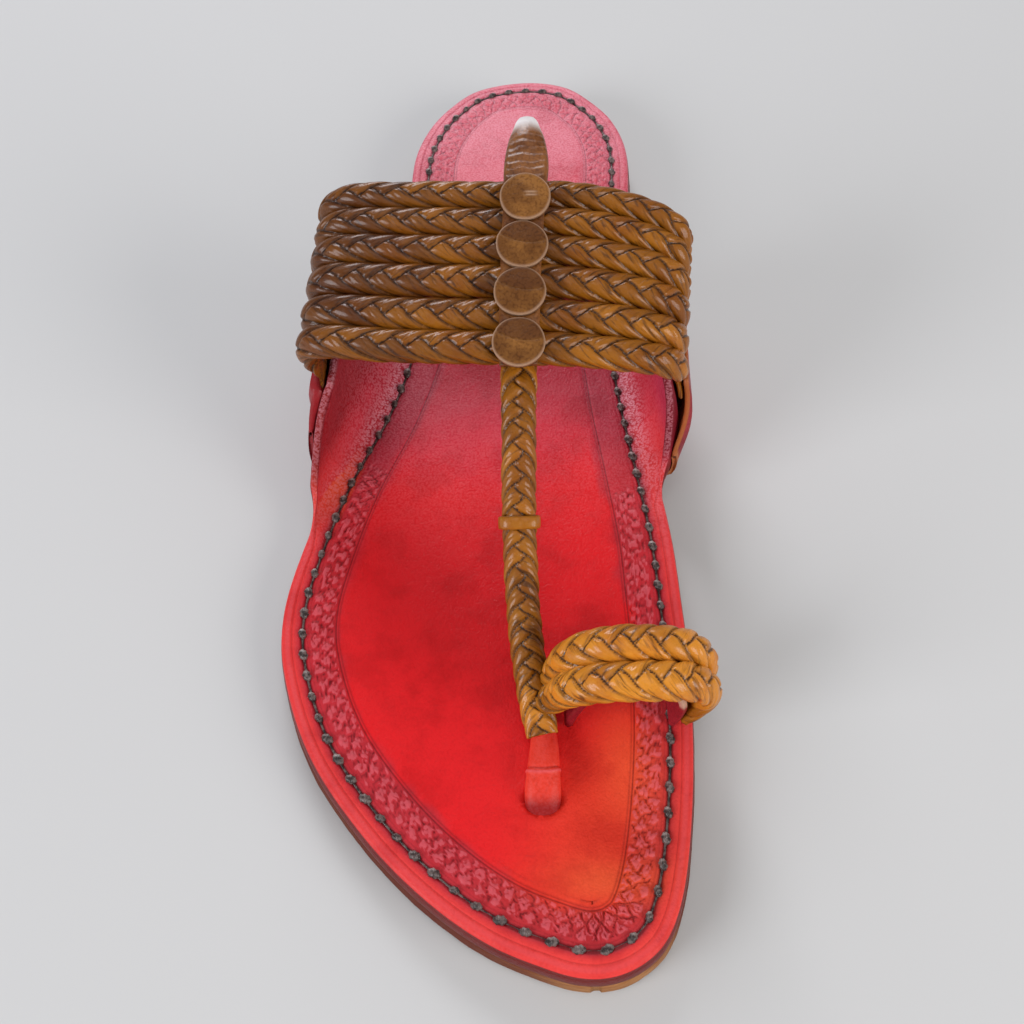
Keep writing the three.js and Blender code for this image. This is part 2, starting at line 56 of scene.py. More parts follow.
# ------------------------------------------------------------
# Camera, light and floor. The sandal stands on a plain pale floor under soft daylight that
# comes mostly from behind the heel, with a cool fill from the lateral side.
MM = 0.001


def aim(thing, eye, target, roll=0.0):
    """Turns a camera or a light at eye towards target."""
    way = Vector(target) - Vector(eye)
    thing.location = eye
    thing.rotation_euler = way.to_track_quat("-Z", "Y").to_euler()
    thing.rotation_euler.rotate_axis("Z", roll)


lens = bpy.data.cameras.new("camera")
lens.sensor_width = 36
lens.lens = 38.52
lens.clip_start = 0.01
camera = bpy.data.objects.new("camera", lens)
bpy.context.scene.collection.objects.link(camera)
camera.location = (0.0078, -0.17436, 0.22349)
camera.rotation_euler = (math.radians(34.276), math.radians(1.675), math.radians(-1.182))
bpy.context.scene.camera = camera
bpy.context.scene.view_settings.view_transform = "Standard"

for name, eye, size, power, tint in [
    ("sky_behind", (-0.2, 1.15, 0.72), 0.6, 9.0, (0.95, 0.95, 1.0)),
    ("lateral_fill", (-1.0, -0.6, 0.5), 0.7, 10.0, (0.95, 0.96, 1.0)),
    ("overhead", (0.1, -0.25, 1.3), 1.0, 2.6, (1.0, 0.98, 0.96)),
    ("toe_fill", (0.9, -0.65, 0.5), 0.7, 8.0, (1.0, 0.97, 0.94)),
]:
    lamp = bpy.data.lights.new(name, "AREA")
    lamp.shape = "DISK"
    lamp.size = size
    lamp.energy = power
    lamp.color = tint
    holder = bpy.data.objects.new(name, lamp)
    bpy.context.scene.collection.objects.link(holder)
    aim(holder, eye, (0, 0, 0.02))

world = bpy.data.worlds.new("room")
bpy.context.scene.world = world
world.use_nodes = True
world.node_tree.nodes["Background"].inputs["Color"].default_value = (0.86, 0.88, 0.9, 1)
world.node_tree.nodes["Background"].inputs["Strength"].default_value = 0.3


def link(tree, start, end):
    tree.links.new(start, end)


def principled(name, roughness, coat=0.0, coat_roughness=0.3, specular=0.3):
    """A new material and its shader."""
    material = bpy.data.materials.new(name)
    material.use_nodes = True
    shader = material.node_tree.nodes["Principled BSDF"]
    shader.inputs["Roughness"].default_value = roughness
    shader.inputs["Coat Weight"].default_value = coat
    shader.inputs["Coat Roughness"].default_value = coat_roughness
    shader.inputs["Specular IOR Level"].default_value = specular
    return material, shader


def mesh_piece(name, points, faces, material):
    """A mesh in millimetres, made into an object in metres."""
    mesh = bpy.data.meshes.new(name)
    mesh.from_pydata([tuple(p) for p in np.asarray(points) * MM], [], [tuple(map(int, f)) for f in faces])
    mesh.validate()
    mesh.polygons.foreach_set("use_smooth", [True] * len(mesh.polygons))
    mesh.materials.append(material)
    piece = bpy.data.objects.new(name, mesh)
    bpy.context.scene.collection.objects.link(piece)
    return piece


floor_paint, floor_shader = principled("floor_paint", 0.85, specular=0.15)
floor_shader.inputs["Base Color"].default_value = (0.62, 0.62, 0.62, 1)
FLOOR_HALF = 3000
floor_corners = [(x * FLOOR_HALF, y * FLOOR_HALF, 0) for x, y in ((-1, -1), (1, -1), (1, 1), (-1, 1))]
floor = mesh_piece("floor", floor_corners, [(0, 1, 2, 3)], floor_paint)
floor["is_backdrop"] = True

# ------------------------------------------------------------
# Top sole: thick red-dyed leather whose sides are cut with two wings that curl up as ears.
# A stitched groove runs round it, with a stamped border inside and a rolled rim outside.
LENGTH = 264.4
GAP = 0.3
OUTSOLE_THICK = 3.4
INSOLE_THICK = 4.6
HEEL_HEIGHT = 6
WALL_FLARE = 0.14
RIM = 0.8
STITCH_INSET = 4.7
FLAT_TOE_END, TOE_SPRING = -100, 1.5
WAIST_FRONT, WAIST_BACK = 10, 64
EAR_THICK = 1.7
EAR_FRONT, EAR_BACK = -13, 25
EAR_BELLY = 2.2
OUTLINE = np.array([  # y, lateral x, medial x
    (-132.2, 18, 18), (-130.1, 8.6, 26.2), (-126, -1.0, 31.2), (-118, -12.7, 35.2), (-104, -26.8, 38.5),
    (-86, -39.3, 40.9), (-66, -46.4, 42), (-52, -47.4, 41.9), (-36, -44.5, 41.5), (-16, -38.8, 39.6),
    (6, -30.1, 37.3), (30, -23.9, 36), (56, -21.9, 37.3), (80, -22.2, 40.3), (98, -21.2, 41),
    (112, -16.8, 37.7), (122, -10.3, 31.6), (129, -2.5, 24.6), (132.2, 12.2, 12.2),
])
EARS = {
    "lateral": dict(
        side=-1, start=-36, end=48, reach=6.4, front_x=-33.8, back_x=-30.4, front=31, back=38,
        pinch=(0.74, 0.9, -15, -10.5), tucks=(0.9, 0.94, 0.985),
    ),
    "medial": dict(
        side=1, start=-27, end=44, reach=8.6, front_x=39.2, back_x=42, front=30, back=38,
        pinch=(0.62, 0.84, -18, -12.4), tucks=(0.85, 0.92, 0.98),
    ),
}


def unit(way):
    """A direction, or many, brought to length one."""
    return way / np.linalg.norm(way, axis=-1, keepdims=True)


def distances(line):
    """How far each point of a line lies from its start."""
    return np.concatenate([[0], np.cumsum(np.linalg.norm(np.diff(line, axis=0), axis=1))])


def with_height(xy, z):
    return np.concatenate([xy, z[:, None]], 1)


def smoothstep(x, low, high):
    t = np.clip((x - low) / (high - low), 0, 1)
    return t * t * (3 - 2 * t)


def angle_at(y):
    return np.arccos(np.clip(-np.asarray(y, float) / (LENGTH / 2), -1, 1))


def through(places, values, at):
    """A smooth curve through a few values: Hermite pieces with slopes from the neighbours."""
    places, values, at = (np.asarray(v, float) for v in (places, values, at))
    last = len(places) - 1
    near = lambda j: np.clip(j, 0, last)
    slopes = np.array([
        (values[near(j + 1)] - values[near(j - 1)]) / (places[near(j + 1)] - places[near(j - 1)])
        for j in range(last + 1)
    ])
    i = np.clip(np.searchsorted(places, at, side="left") - 1, 0, last - 1)
    span = places[i + 1] - places[i]
    t = np.clip((at - places[i]) / span, 0, 1)
    return (
        (2 * t**3 - 3 * t**2 + 1) * values[i] + (t**3 - 2 * t**2 + t) * span * slopes[i]
        + (3 * t**2 - 2 * t**3) * values[i + 1] + (t**3 - t**2) * span * slopes[i + 1]
    )


OUTLINE_ANGLES = angle_at(OUTLINE[:, 0])


def edge_xy(side, angle):
    column = 1 if side == "lateral" else 2
    return np.stack([through(OUTLINE_ANGLES, OUTLINE[:, column], angle), -LENGTH / 2 * np.cos(angle)], -1)


def rail_xy(side, angle, outwards):
    """The outline moved outwards along its own normal."""
    angle = np.asarray(angle, float)
    ahead, behind = (edge_xy(side, np.clip(angle + step, 0, math.pi)) for step in (0.02, -0.02))
    run = unit(ahead - behind)
    turn = 1 if side == "medial" else -1
    normal = np.stack([run[..., 1], -run[..., 0]], -1) * turn
    return edge_xy(side, angle) + normal * np.asarray(outwards, float)[..., None]


def underside_z(y):
    spring = np.maximum(0, FLAT_TOE_END - y) / (LENGTH / 2 + FLAT_TOE_END)
    return TOE_SPRING * spring**2 + HEEL_HEIGHT * smoothstep(y, WAIST_FRONT, WAIST_BACK)


def insole_top_z(y):
    return underside_z(y) + OUTSOLE_THICK + GAP + INSOLE_THICK


def ear_section(side, angle):
    """The curve from the stitch line out and up an ear, at each angle of the outline."""
    ear = EARS[side]
    angle = np.atleast_1d(np.asarray(angle, float))
    edge = edge_xy(side, angle)
    sweep = lambda s: 1 - np.sqrt(1 - np.clip(s, 0, 1) ** 2)
    y = edge[:, 1]
    share = np.minimum(sweep((y - ear["start"]) / (EAR_FRONT - ear["start"])),
                       sweep((ear["end"] - y) / (ear["end"] - EAR_BACK)))
    along = np.clip((y - EAR_FRONT) / (EAR_BACK - EAR_FRONT), 0, 1)
    base = rail_xy(side, angle, np.full_like(angle, -STITCH_INSET))
    rim = rail_xy(side, angle, np.full_like(angle, -RIM))
    z = insole_top_z(y)
    tip_x = rim[:, 0] + share**2 * (ear["front_x"] + along * (ear["back_x"] - ear["front_x"]) - rim[:, 0])
    tip_x = tip_x + ear["side"] * EAR_BELLY * 4 * share * (1 - share)
    tip = np.stack([tip_x, z + share * (ear["front"] + along * (ear["back"] - ear["front"]))], -1)
    start = np.stack([base[:, 0], z], -1)
    root = np.sqrt(share)
    bend_x = (start[:, 0] + tip_x) / 2 * (1 - root) + (edge[:, 0] + ear["side"] * ear["reach"]) * root
    bend = np.stack([bend_x, z], -1)

    def at(v, outwards=0.0):
        v = np.asarray(v, float)[..., None]
        point = (1 - v) ** 2 * start + 2 * v * (1 - v) * bend + v**2 * tip
        run = 2 * (1 - v) * (bend - start) + 2 * v * (tip - bend)
        run = unit(run)
        outwards = np.asarray(outwards, float)
        x = point[..., 0] + ear["side"] * run[..., 1] * outwards
        up = point[..., 1] - ear["side"] * run[..., 0] * outwards
        side_y = base[:, 1] + v[..., 0] * (rim[:, 1] + share * (edge[:, 1] - rim[:, 1]) - base[:, 1])
        return np.stack([x, side_y, up], -1)

    return at, share


def ripple(points, scale, seed=0.0):
    """Soft cloudy noise about zero at points in millimetres."""
    shift = Vector((seed, seed * 1.7, -seed))
    flat = np.asarray(points, float).reshape(-1, 3)
    values = [noise.fractal(Vector(p) / scale + shift, 0.6, 2.1, 3) for p in flat]
    return np.array(values).reshape(np.asarray(points).shape[:-1])


def dent(distance, width, depth):
    """A soft trough, deepest where distance is zero."""
    return -depth * np.exp(-((distance / width) ** 2))


def ring_faces(rings, corners, loop=False):
    """Faces between rings of corners; a loop joins the last ring to the first."""
    return [
        (i * corners + j, i * corners + (j + 1) % corners,
         (i + 1) % rings * corners + (j + 1) % corners, (i + 1) % rings * corners + j)
        for i in range(rings if loop else rings - 1) for j in range(corners)
    ]


def tube_faces(rings, corners):
    """The same with a face over each end."""
    ends = [tuple(range(corners))[::-1], tuple((rings - 1) * corners + j for j in range(corners))]
    return ring_faces(rings, corners) + ends


quarter = np.linspace(0, math.pi / 2, 44)
sole_angles = np.concatenate([
    np.linspace(0, angle_at(-36), 190)[:-1],
    angle_at(-36 + 23 * np.sin(quarter))[:-1],
    angle_at(np.linspace(-13, 25, 52))[:-1],
    angle_at(48 - 23 * np.sin(quarter[::-1]))[:-1],
    np.linspace(angle_at(48), math.pi, 180),
])
HOLE_X, HOLE_Y, HOLE_WIDE, HOLE_LONG = 9.3, -98.2, 3.5, 2.7
BORDER_IN, BORDER_OUT = 11.9, 6.3  # the stamped border lies between these insets
STAMP = 3.5  # one stamp of it along the edge


def border_share(side, y):
    """Where the stamped border is: round the forefoot and round the heel, but not in the waist."""
    front = -9 if side == "lateral" else -21
    return (1 - smoothstep(y, front - 1.5, front + 0.5)) + smoothstep(y, 62, 65)


def stamped(side, along, inset, y):
    """Relief of the stamped border: crossing rows of little raised leaves."""
    q = (BORDER_IN - inset) / (BORDER_IN - BORDER_OUT)
    inside = smoothstep(q, 0.0, 0.07) * (1 - smoothstep(q, 0.93, 1.0))
    place = np.stack([along, inset + 0 * along, 0 * along], -1)
    along = along + 0.8 * ripple(place, 2.4, 5.0 if side == "lateral" else 9.0)
    lean = np.abs(np.sin(math.pi * (along / STAMP + 1.25 * q)))
    back = np.abs(np.sin(math.pi * (along / STAMP - 1.25 * q)))
    leaf = np.minimum(lean, back) ** 0.6
    vein = np.cos(2 * math.pi * (along / STAMP * 3.5 + q * 3.1 * np.where(lean < back, 1, -1)))
    return border_share(side, y) * inside * (0.62 * (leaf - 0.5) + 0.3 * vein * leaf)


def half_sole(side):
    """Points of one half of the top sole, ring by ring from the wall's foot to the middle, with each
    point's inset from the edge and how deep in a crease it lies."""
    angle = sole_angles
    at, share = ear_section(side, angle)
    raised = np.minimum(1, share * 5)
    edge = edge_xy(side, angle)
    stamps_along = distances(rail_xy(side, angle, np.full_like(angle, -9.0)))
    columns, insets, creases = [], [], []

    def wall(depth, outwards=0.0):
        xy = rail_xy(side, angle, WALL_FLARE * depth + outwards)
        return with_height(xy, insole_top_z(xy[:, 1]) - depth)

    full = np.full_like(angle, 1.0)
    for depth in (4.6, 4.4, 3.6, 2.6, 1.8):
        belly = 0.12 * math.sin(math.pi * (depth - 0.8) / 3.8)
        columns.append(wall(full * depth, full * (belly - (0.25 if depth == 4.6 else 0))))
        insets.append(full * -depth)
        creases.append(full * 0)
    for k, v in enumerate(np.linspace(0.5, 1, 9)):
        depth = 1.4 - 0.6 * k / 8
        on_ear = at(full * v, full * EAR_THICK)
        columns.append(wall(full * depth) + (on_ear - wall(full * depth)) * raised[:, None])
        insets.append(full * -depth)
        creases.append(full * 0)
    for turn in np.linspace(0, math.pi / 2, 5)[1:-1]:
        round_rim = wall(full * (RIM * (1 - math.sin(turn))), full * (-RIM * (1 - math.cos(turn))))
        cap = at(full * 1, full * EAR_THICK * (0.5 + 0.5 * math.cos(2 * turn)))
        cap[:, 2] += 0.35 * EAR_THICK * math.sin(2 * turn)
        columns.append(round_rim + (cap - round_rim) * raised[:, None])
        insets.append(full * 0.4)
        creases.append(full * 0)
    # From the rim in to the stitch line.
    top, half, foot = at(full * 1), at(full * 0.5), at(full * 0)
    span = np.linalg.norm(top - half, axis=1) + np.linalg.norm(half - foot, axis=1)
    near = [1.3, 1.0, 0.75, 0.5, 0.25, 0.0]  # distances from the stitch line
    far = 20  # columns further out
    for k in range(far + len(near)):
        v = 1 - (1 - near[0] / span) * k / far if k < far else near[k - far] / span
        inner = span * v
        outer = span - inner
        crease = dent(outer - 1.5, 0.22, 0.16) + 0.1 * np.exp(-((outer - 0.5) / 0.9) ** 2)
        groove = dent(inner, 0.6, 0.42)
        place = at(v, 0)
        folds = 0.16 * ripple(place * (1.0, 0.45, 1.0), 1.9, 4.0) * (0.25 + raised)
        folds = folds * smoothstep(inner, 0.8, 3) * (1 - smoothstep(inner, 5, 14))
        columns.append(at(v, -(crease + groove + folds)))
        insets.append(STITCH_INSET - inner)
        creases.append(-(crease + groove))
    # The flat of the sole, inside the stitch line.
    for inset in np.concatenate([np.arange(4.95, 12.9, 0.3), np.array([13.3, 14.0])]):
        xy = rail_xy(side, angle, full * -inset)
        relief = dent(inset - STITCH_INSET, 0.6, 0.42) + stamped(side, stamps_along, inset, edge[:, 1])
        for line, deep in ((5.95, 0.14), (12.15, 0.24), (12.75, 0.16)):
            relief = relief + dent(inset - line, 0.2, deep)
        columns.append(with_height(xy, insole_top_z(xy[:, 1]) + relief))
        insets.append(full * inset)
        creases.append(-relief)
    return np.stack(columns, 1), np.stack(insets, 1), np.stack(creases, 1)


lateral_half, lateral_inset, lateral_crease = half_sole("lateral")
medial_half, medial_inset, medial_crease = half_sole("medial")
MIDDLE = 44
share_across = (np.arange(1, MIDDLE) / MIDDLE)[None, :, None]
middle = lateral_half[:, -1:] * (1 - share_across) + medial_half[:, -1:] * share_across
middle[..., 2] = insole_top_z(middle[..., 1])
# A worn hollow under the ball of the foot and the heel, and the punched hole of the toe sleeve.
middle[..., 2] -= 0.35 * np.exp(-(((middle[..., 0] - 0) / 22) ** 2) - ((middle[..., 1] + 55) / 34) ** 2)
middle[..., 2] += 0.12 * ripple(middle, 16, 2.0)
reach = np.hypot((middle[..., 0] - HOLE_X) / HOLE_WIDE, (middle[..., 1] - HOLE_Y) / HOLE_LONG)
inner, rimmed = reach < 1, (reach >= 1) & (reach < 1.4)
snap = np.where(inner & (reach > 0.6), 0.97 / np.maximum(reach, 0.01), np.where(rimmed, 1.04 / reach, 1))
middle[..., 0] = HOLE_X + (middle[..., 0] - HOLE_X) * snap
middle[..., 1] = HOLE_Y + (middle[..., 1] - HOLE_Y) * snap
middle[..., 2] -= np.where(inner, 3.6, 0) - 0.25 * np.exp(-((reach - 1.5) / 0.5) ** 2) * (reach >= 1)
middle_inset = np.full(middle.shape[:2], 20.0)
# Inside the hole the crease value is full, which the red leather turns into painted shade.
middle_crease = np.where(inner, 1.0, 0.0)

for end in (0, -1):
    seam = (lateral_half[end] + medial_half[end]) / 2
    lateral_half[end], medial_half[end], middle[end] = seam, seam, seam[-1]

foot_row = np.linspace(0, 1, 12)[1:-1][None, :, None]
under = medial_half[:, :1] * (1 - foot_row) + lateral_half[:, :1] * foot_row
under_fill = np.zeros(under.shape[:2])
sole_points = np.concatenate([lateral_half, middle, medial_half[:, ::-1], under], 1)
sole_inset = np.concatenate([lateral_inset, middle_inset, medial_inset[:, ::-1], under_fill - 5], 1)
sole_crease = np.concatenate([lateral_crease, middle_crease, medial_crease[:, ::-1], under_fill], 1)
rings, around = sole_points.shape[:2]

DYE_AND_LIGHT = {  # colours of the dyed leather and of the sheen and shade painted on it, linear
    "red": (0.8, 0.012, 0.016), "crimson": (0.5, 0.03, 0.044), "dark": (0.17, 0.008, 0.014),
    "orange": (0.85, 0.09, 0.03), "pink": (0.72, 0.16, 0.22), "toe": (0.92, 0.06, 0.05),
    "ear": (0.34, 0.009, 0.016), "rose": (0.5, 0.03, 0.08), "wall": (0.12, 0.004, 0.002),
    "deep": (0.58, 0.006, 0.011),
}


sole_x, sole_y = sole_points[..., 0], sole_points[..., 1]


def dab(x, y, wide, long):
    """A soft round patch of colour on the sole."""
    return np.exp(-((sole_x - x) / wide) ** 2 - ((sole_y - y) / long) ** 2)


def paint(base, colour, share):
    share = np.clip(share, 0, 1)[..., None]
    return base * (1 - share) + np.array(DYE_AND_LIGHT[colour]) * share


cloud = ripple(sole_points, 20, 7.0)
side_of = np.where(sole_x < 5, -1, 1)
WALL_COLUMNS = 14  # the first columns of each half are its wall and the back of its ear
column = np.arange(around)
from_foot = np.minimum(column, np.abs(2 * lateral_half.shape[1] + MIDDLE - 2 - column))[None, :]
outside = (from_foot < WALL_COLUMNS) | (column >= 2 * lateral_half.shape[1] + MIDDLE - 1)
ear_tip = (from_foot >= WALL_COLUMNS) * (from_foot < WALL_COLUMNS + 5)
on_ears = smoothstep(sole_points[..., 2], 11, 20) * (np.abs(sole_y - 5) < 45)
dye_and_painted_light = np.broadcast_to(np.array(DYE_AND_LIGHT["red"]), sole_points.shape).copy()
for colour, share in [
    ("crimson", 0.85 * (1 - smoothstep(sole_inset + 3 * cloud, 11, 14))),
    ("toe", 0.6 * (1 - smoothstep(sole_inset, 2.4, 4)) * (1 - smoothstep(sole_y, 0, 50))),
    ("orange", 0.4 * dab(18, -104, 12, 14) + 0.8 * dab(22, -115, 14, 5)),
    ("deep", 0.9 * dab(-6, -42, 34, 26)),
    # Painted sheen: a rose wash rising towards the back, where the light from behind glances off the
    # polish.
    ("rose", 0.55 * smoothstep(sole_y + 5 * cloud, -26, 8)),
    ("toe", 0.8 * dab(26, -122, 26, 14) * (1 - smoothstep(sole_inset, 2.6, 4.4))),
    ("orange", 0.85 * dab(27, -92, 7, 14)),
    ("crimson", 0.3 * smoothstep(sole_y + 6 * cloud, -10, 30)),
    # Painted sheen: pink over the heel.
    ("pink", 0.8 * smoothstep(sole_y + 8 * cloud, 58, 112)),
    # Painted shade: the lateral ear darker red, in the shadow under the band.
    ("ear", on_ears * (side_of < 0)),
    ("orange", 0.8 * dab(-38, -17, 7, 9) * (sole_inset < 6) * (sole_inset > -0.5)),
    # The medial ear rose: its pink is a painted sheen.
    ("rose", on_ears * (side_of > 0)),
    ("wall", 0.95 * outside * (1 - on_ears)),
    ("dark", on_ears * (0.9 * outside + 0.85 * ear_tip)),
]:
    dye_and_painted_light = paint(dye_and_painted_light, colour, share)
# Painted sheen: pale glints on the grain beside the stitches on the ears, and at the heel.
painted_sheen = np.exp(-((sole_inset - 1.5) / 4.0) ** 2) * dab(0, 12, 900, 30) * (sole_inset < 4.9)
painted_sheen = painted_sheen * np.where(side_of > 0, 0.9, 0.75) + 0.35 * smoothstep(sole_y, 50, 110)
painted_sheen = painted_sheen + 0.3 * dab(-30, 20, 12, 24) + 0.1 * smoothstep(sole_y, -45, -5)
painted_sheen = painted_sheen * (1 - outside)


def keep_values(piece, name, values):
    """Stores a number or a colour at each point of a piece."""
    kind = "FLOAT_COLOR" if np.ndim(values) == 2 else "FLOAT"
    layer = piece.data.attributes.new(name, kind, "POINT")
    if kind == "FLOAT":
        layer.data.foreach_set("value", np.asarray(values, np.float32))
    else:
        with_alpha = np.concatenate([values, np.ones((len(values), 1))], 1)
        layer.data.foreach_set("color", with_alpha.astype(np.float32).ravel())


def keep_uv(piece, name, pairs):
    """Stores a pair of lengths in millimetres at each point of a piece as its uv map."""
    layer = piece.data.uv_layers.new(name=name)
    corner = np.zeros(len(piece.data.loops), np.int32)
    piece.data.loops.foreach_get("vertex_index", corner)
    layer.data.foreach_set("uv", np.asarray(pairs, np.float32)[corner].ravel())


def weld(piece):
    """Joins points of a mesh that lie on each other, as at the tips of the sole."""
    soft = bmesh.new()
    soft.from_mesh(piece.data)
    bmesh.ops.remove_doubles(soft, verts=soft.verts, dist=2e-6)
    bmesh.ops.recalc_face_normals(soft, faces=soft.faces)
    soft.to_mesh(piece.data)
    soft.free()


def new_group(name, inputs, outputs):
    """An empty shader node group with named sockets, and its two end nodes."""
    tree = bpy.data.node_groups.new(name, "ShaderNodeTree")
    for label, kind, value in inputs:
        socket = tree.interface.new_socket(label, in_out="INPUT", socket_type="NodeSocket" + kind)
        if value is not None:
            socket.default_value = value
    for label, kind in outputs:
        tree.interface.new_socket(label, in_out="OUTPUT", socket_type="NodeSocket" + kind)
    return tree, tree.nodes.new("NodeGroupInput"), tree.nodes.new("NodeGroupOutput")


def texture(tree, kind, vector, **values):
    node = tree.nodes.new("ShaderNodeTex" + kind)
    for key, value in values.items():
        node.inputs[key].default_value = value
    link(tree, vector, node.inputs["Vector"])
    return node


def maths(tree, operation, first, second=None, third=None):
    node = tree.nodes.new("ShaderNodeMath")
    node.operation = operation
    for socket, value in zip(node.inputs, (first, second, third)):
        if isinstance(value, (int, float)):
            socket.default_value = value
        elif value is not None:
            link(tree, value, socket)
    return node.outputs[0]


def blend_colour(tree, kind, share, first, second):
    node = tree.nodes.new("ShaderNodeMix")
    node.data_type = "RGBA"
    node.blend_type = kind
    node.clamp_factor = True
    for socket, value in ((node.inputs[0], share), (node.inputs[6], first), (node.inputs[7], second)):
        if isinstance(value, (int, float)):
            socket.default_value = value
        elif isinstance(value, tuple):
            socket.default_value = (*value, 1)
        else:
            link(tree, value, socket)
    return node.outputs[2]


def ramp(tree, value, low, high):
    """Stretches a value between low and high to 0..1."""
    node = tree.nodes.new("ShaderNodeMapRange")
    node.interpolation_type = "SMOOTHSTEP"
    node.inputs["From Min"].default_value = low
    node.inputs["From Max"].default_value = high
    link(tree, value, node.inputs["Value"])
    return node.outputs[0]


def leather_grain():
    """Grain of polished leather: fine pebbles with pores, over broad soft wrinkles."""
    tree, given, out = new_group(
        "leather_grain",
        [("Vector", "Vector", None), ("Pebble Size", "Float", 0.6), ("Wrinkle", "Float", 0.5)],
        [("Height", "Float"), ("Pores", "Float"), ("Mottle", "Float"), ("Tops", "Float")],
    )
    scaled = tree.nodes.new("ShaderNodeVectorMath")
    scaled.operation = "SCALE"
    link(tree, given.outputs["Vector"], scaled.inputs[0])
    link(tree, maths(tree, "DIVIDE", 1000.0, given.outputs["Pebble Size"]), scaled.inputs["Scale"])
    place = scaled.outputs[0]
    pebbles = texture(tree, "Voronoi", place, Scale=1.0, Randomness=1.0)
    pebbles.feature = "SMOOTH_F1"
    fine = texture(tree, "Noise", place, Scale=2.6, Detail=4.0, Roughness=0.6)
    broad = texture(tree, "Noise", place, Scale=0.16, Detail=3.0, Roughness=0.55, Distortion=0.6)
    mottle = texture(tree, "Noise", place, Scale=0.045, Detail=4.0, Roughness=0.6)
    height = maths(tree, "MULTIPLY", pebbles.outputs["Distance"], -0.6)
    height = maths(tree, "MULTIPLY_ADD", fine.outputs["Fac"], 0.5, height)
    wrinkles = maths(tree, "MULTIPLY", broad.outputs["Fac"], given.outputs["Wrinkle"])
    height = maths(tree, "MULTIPLY_ADD", wrinkles, 6.0, height)
    link(tree, height, out.inputs["Height"])
    link(tree, ramp(tree, pebbles.outputs["Distance"], 0.35, 0.75), out.inputs["Pores"])
    link(tree, mottle.outputs["Fac"], out.inputs["Mottle"])
    # The tops of the pebbles, where the painted sheen puts its glints.
    tops = maths(tree, "MULTIPLY_ADD", pebbles.outputs["Distance"], -0.8, fine.outputs["Fac"])
    link(tree, ramp(tree, tops, 0.02, 0.26), out.inputs["Tops"])
    return tree


GRAIN = leather_grain()


def object_place(tree):
    return tree.nodes.new("ShaderNodeTexCoord").outputs["Object"]


def leather(name, pebble, wrinkle, roughness, **surface):
    """A leather's material, shader and node tree, and the outputs of its grain."""
    material, shader = principled(name, roughness, **surface)
    tree = material.node_tree
    grain = tree.nodes.new("ShaderNodeGroup")
    grain.node_tree = GRAIN
    link(tree, object_place(tree), grain.inputs["Vector"])
    grain.inputs["Pebble Size"].default_value = pebble
    grain.inputs["Wrinkle"].default_value = wrinkle
    return material, shader, tree, grain.outputs


def pored(tree, grain, share, shade, colour):
    """Darkens the pores of a leather."""
    return blend_colour(tree, "MULTIPLY", maths(tree, "MULTIPLY", grain["Pores"], share), shade, colour)


def bump(tree, shader, height, depth):
    """Relief finer than the mesh: depth is in metres."""
    node = tree.nodes.new("ShaderNodeBump")
    node.inputs["Strength"].default_value = 1.0
    node.inputs["Distance"].default_value = depth
    link(tree, height, node.inputs["Height"])
    link(tree, node.outputs["Normal"], shader.inputs["Normal"])


def stored(tree, name, output="Fac"):
    """A number or a colour kept at the points of the piece."""
    node = tree.nodes.new("ShaderNodeAttribute")
    node.attribute_name = name
    return node.outputs[output]


red_leather, shader, tree, grain = leather("red_leather", 0.5, 0.2, 0.42, coat=0.03, specular=0.16)
patchy = ramp(tree, grain["Mottle"], 0.45, 0.66)
shade = blend_colour(tree, "MULTIPLY", patchy, stored(tree, "dye_and_painted_light", "Color"), (0.85, 0.68, 0.72))
# Painted shade in the stitch groove, the creases and the punched hole, and a painted highlight on the
# raised stamps of the border.
depth = ramp(tree, stored(tree, "crease"), 0.02, 0.3)
shade = blend_colour(tree, "MULTIPLY", depth, shade, (0.4, 0.28, 0.34))
raised_highlight = ramp(tree, maths(tree, "MULTIPLY", stored(tree, "crease"), -1.0), 0.02, 0.2)
shade = blend_colour(tree, "MIX", maths(tree, "MULTIPLY", raised_highlight, 0.4), shade, (0.8, 0.16, 0.2))
# Painted sheen: pale pink glints on the pebble tops, as strong as the stored sheen mask.
tops = maths(tree, "MULTIPLY", grain["Tops"], stored(tree, "painted_sheen"))
shade = blend_colour(tree, "MIX", maths(tree, "MULTIPLY", tops, 0.7), shade, (0.86, 0.4, 0.48))
shade = pored(tree, grain, 0.13, shade, (0.55, 0.3, 0.35))
link(tree, shade, shader.inputs["Base Color"])
gloss = maths(tree, "MULTIPLY_ADD", grain["Mottle"], 0.3, 0.24)
link(tree, gloss, shader.inputs["Roughness"])
bump(tree, shader, grain["Height"], 0.00014)

sole_faces = ring_faces(rings, around)
insole = mesh_piece("insole_leather", sole_points.reshape(-1, 3), sole_faces, red_leather)
keep_values(insole, "dye_and_painted_light", dye_and_painted_light.reshape(-1, 3))
keep_values(insole, "crease", sole_crease.ravel())
keep_values(insole, "painted_sheen", np.clip(painted_sheen, 0, 1).ravel())
weld(insole)
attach(insole, "root")
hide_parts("insole")

# ------------------------------------------------------------
# Outsole and heel lift: tan vegetable-tanned leather, left raw below and rough at its cut edge.
# Both are glued and stitched under the top sole, and the lift stands in a little.
HEEL_BREAST = 70
HEEL_INSET = 0.6
WALL_ROWS = [  # share of the height, how far the edge is rounded in
    (0, 0.5), (0.06, 0.15), (0.2, 0), (0.4, 0), (0.6, 0), (0.8, 0), (0.94, 0.15), (1, 0.5),
]
FLAT_COLUMNS = 14  # across the top, and again across the bottom



def stretched(tree, vector, scale):
    node = tree.nodes.new("ShaderNodeMapping")
    node.inputs["Scale"].default_value = scale
    link(tree, vector, node.inputs["Vector"])
    return node.outputs[0]


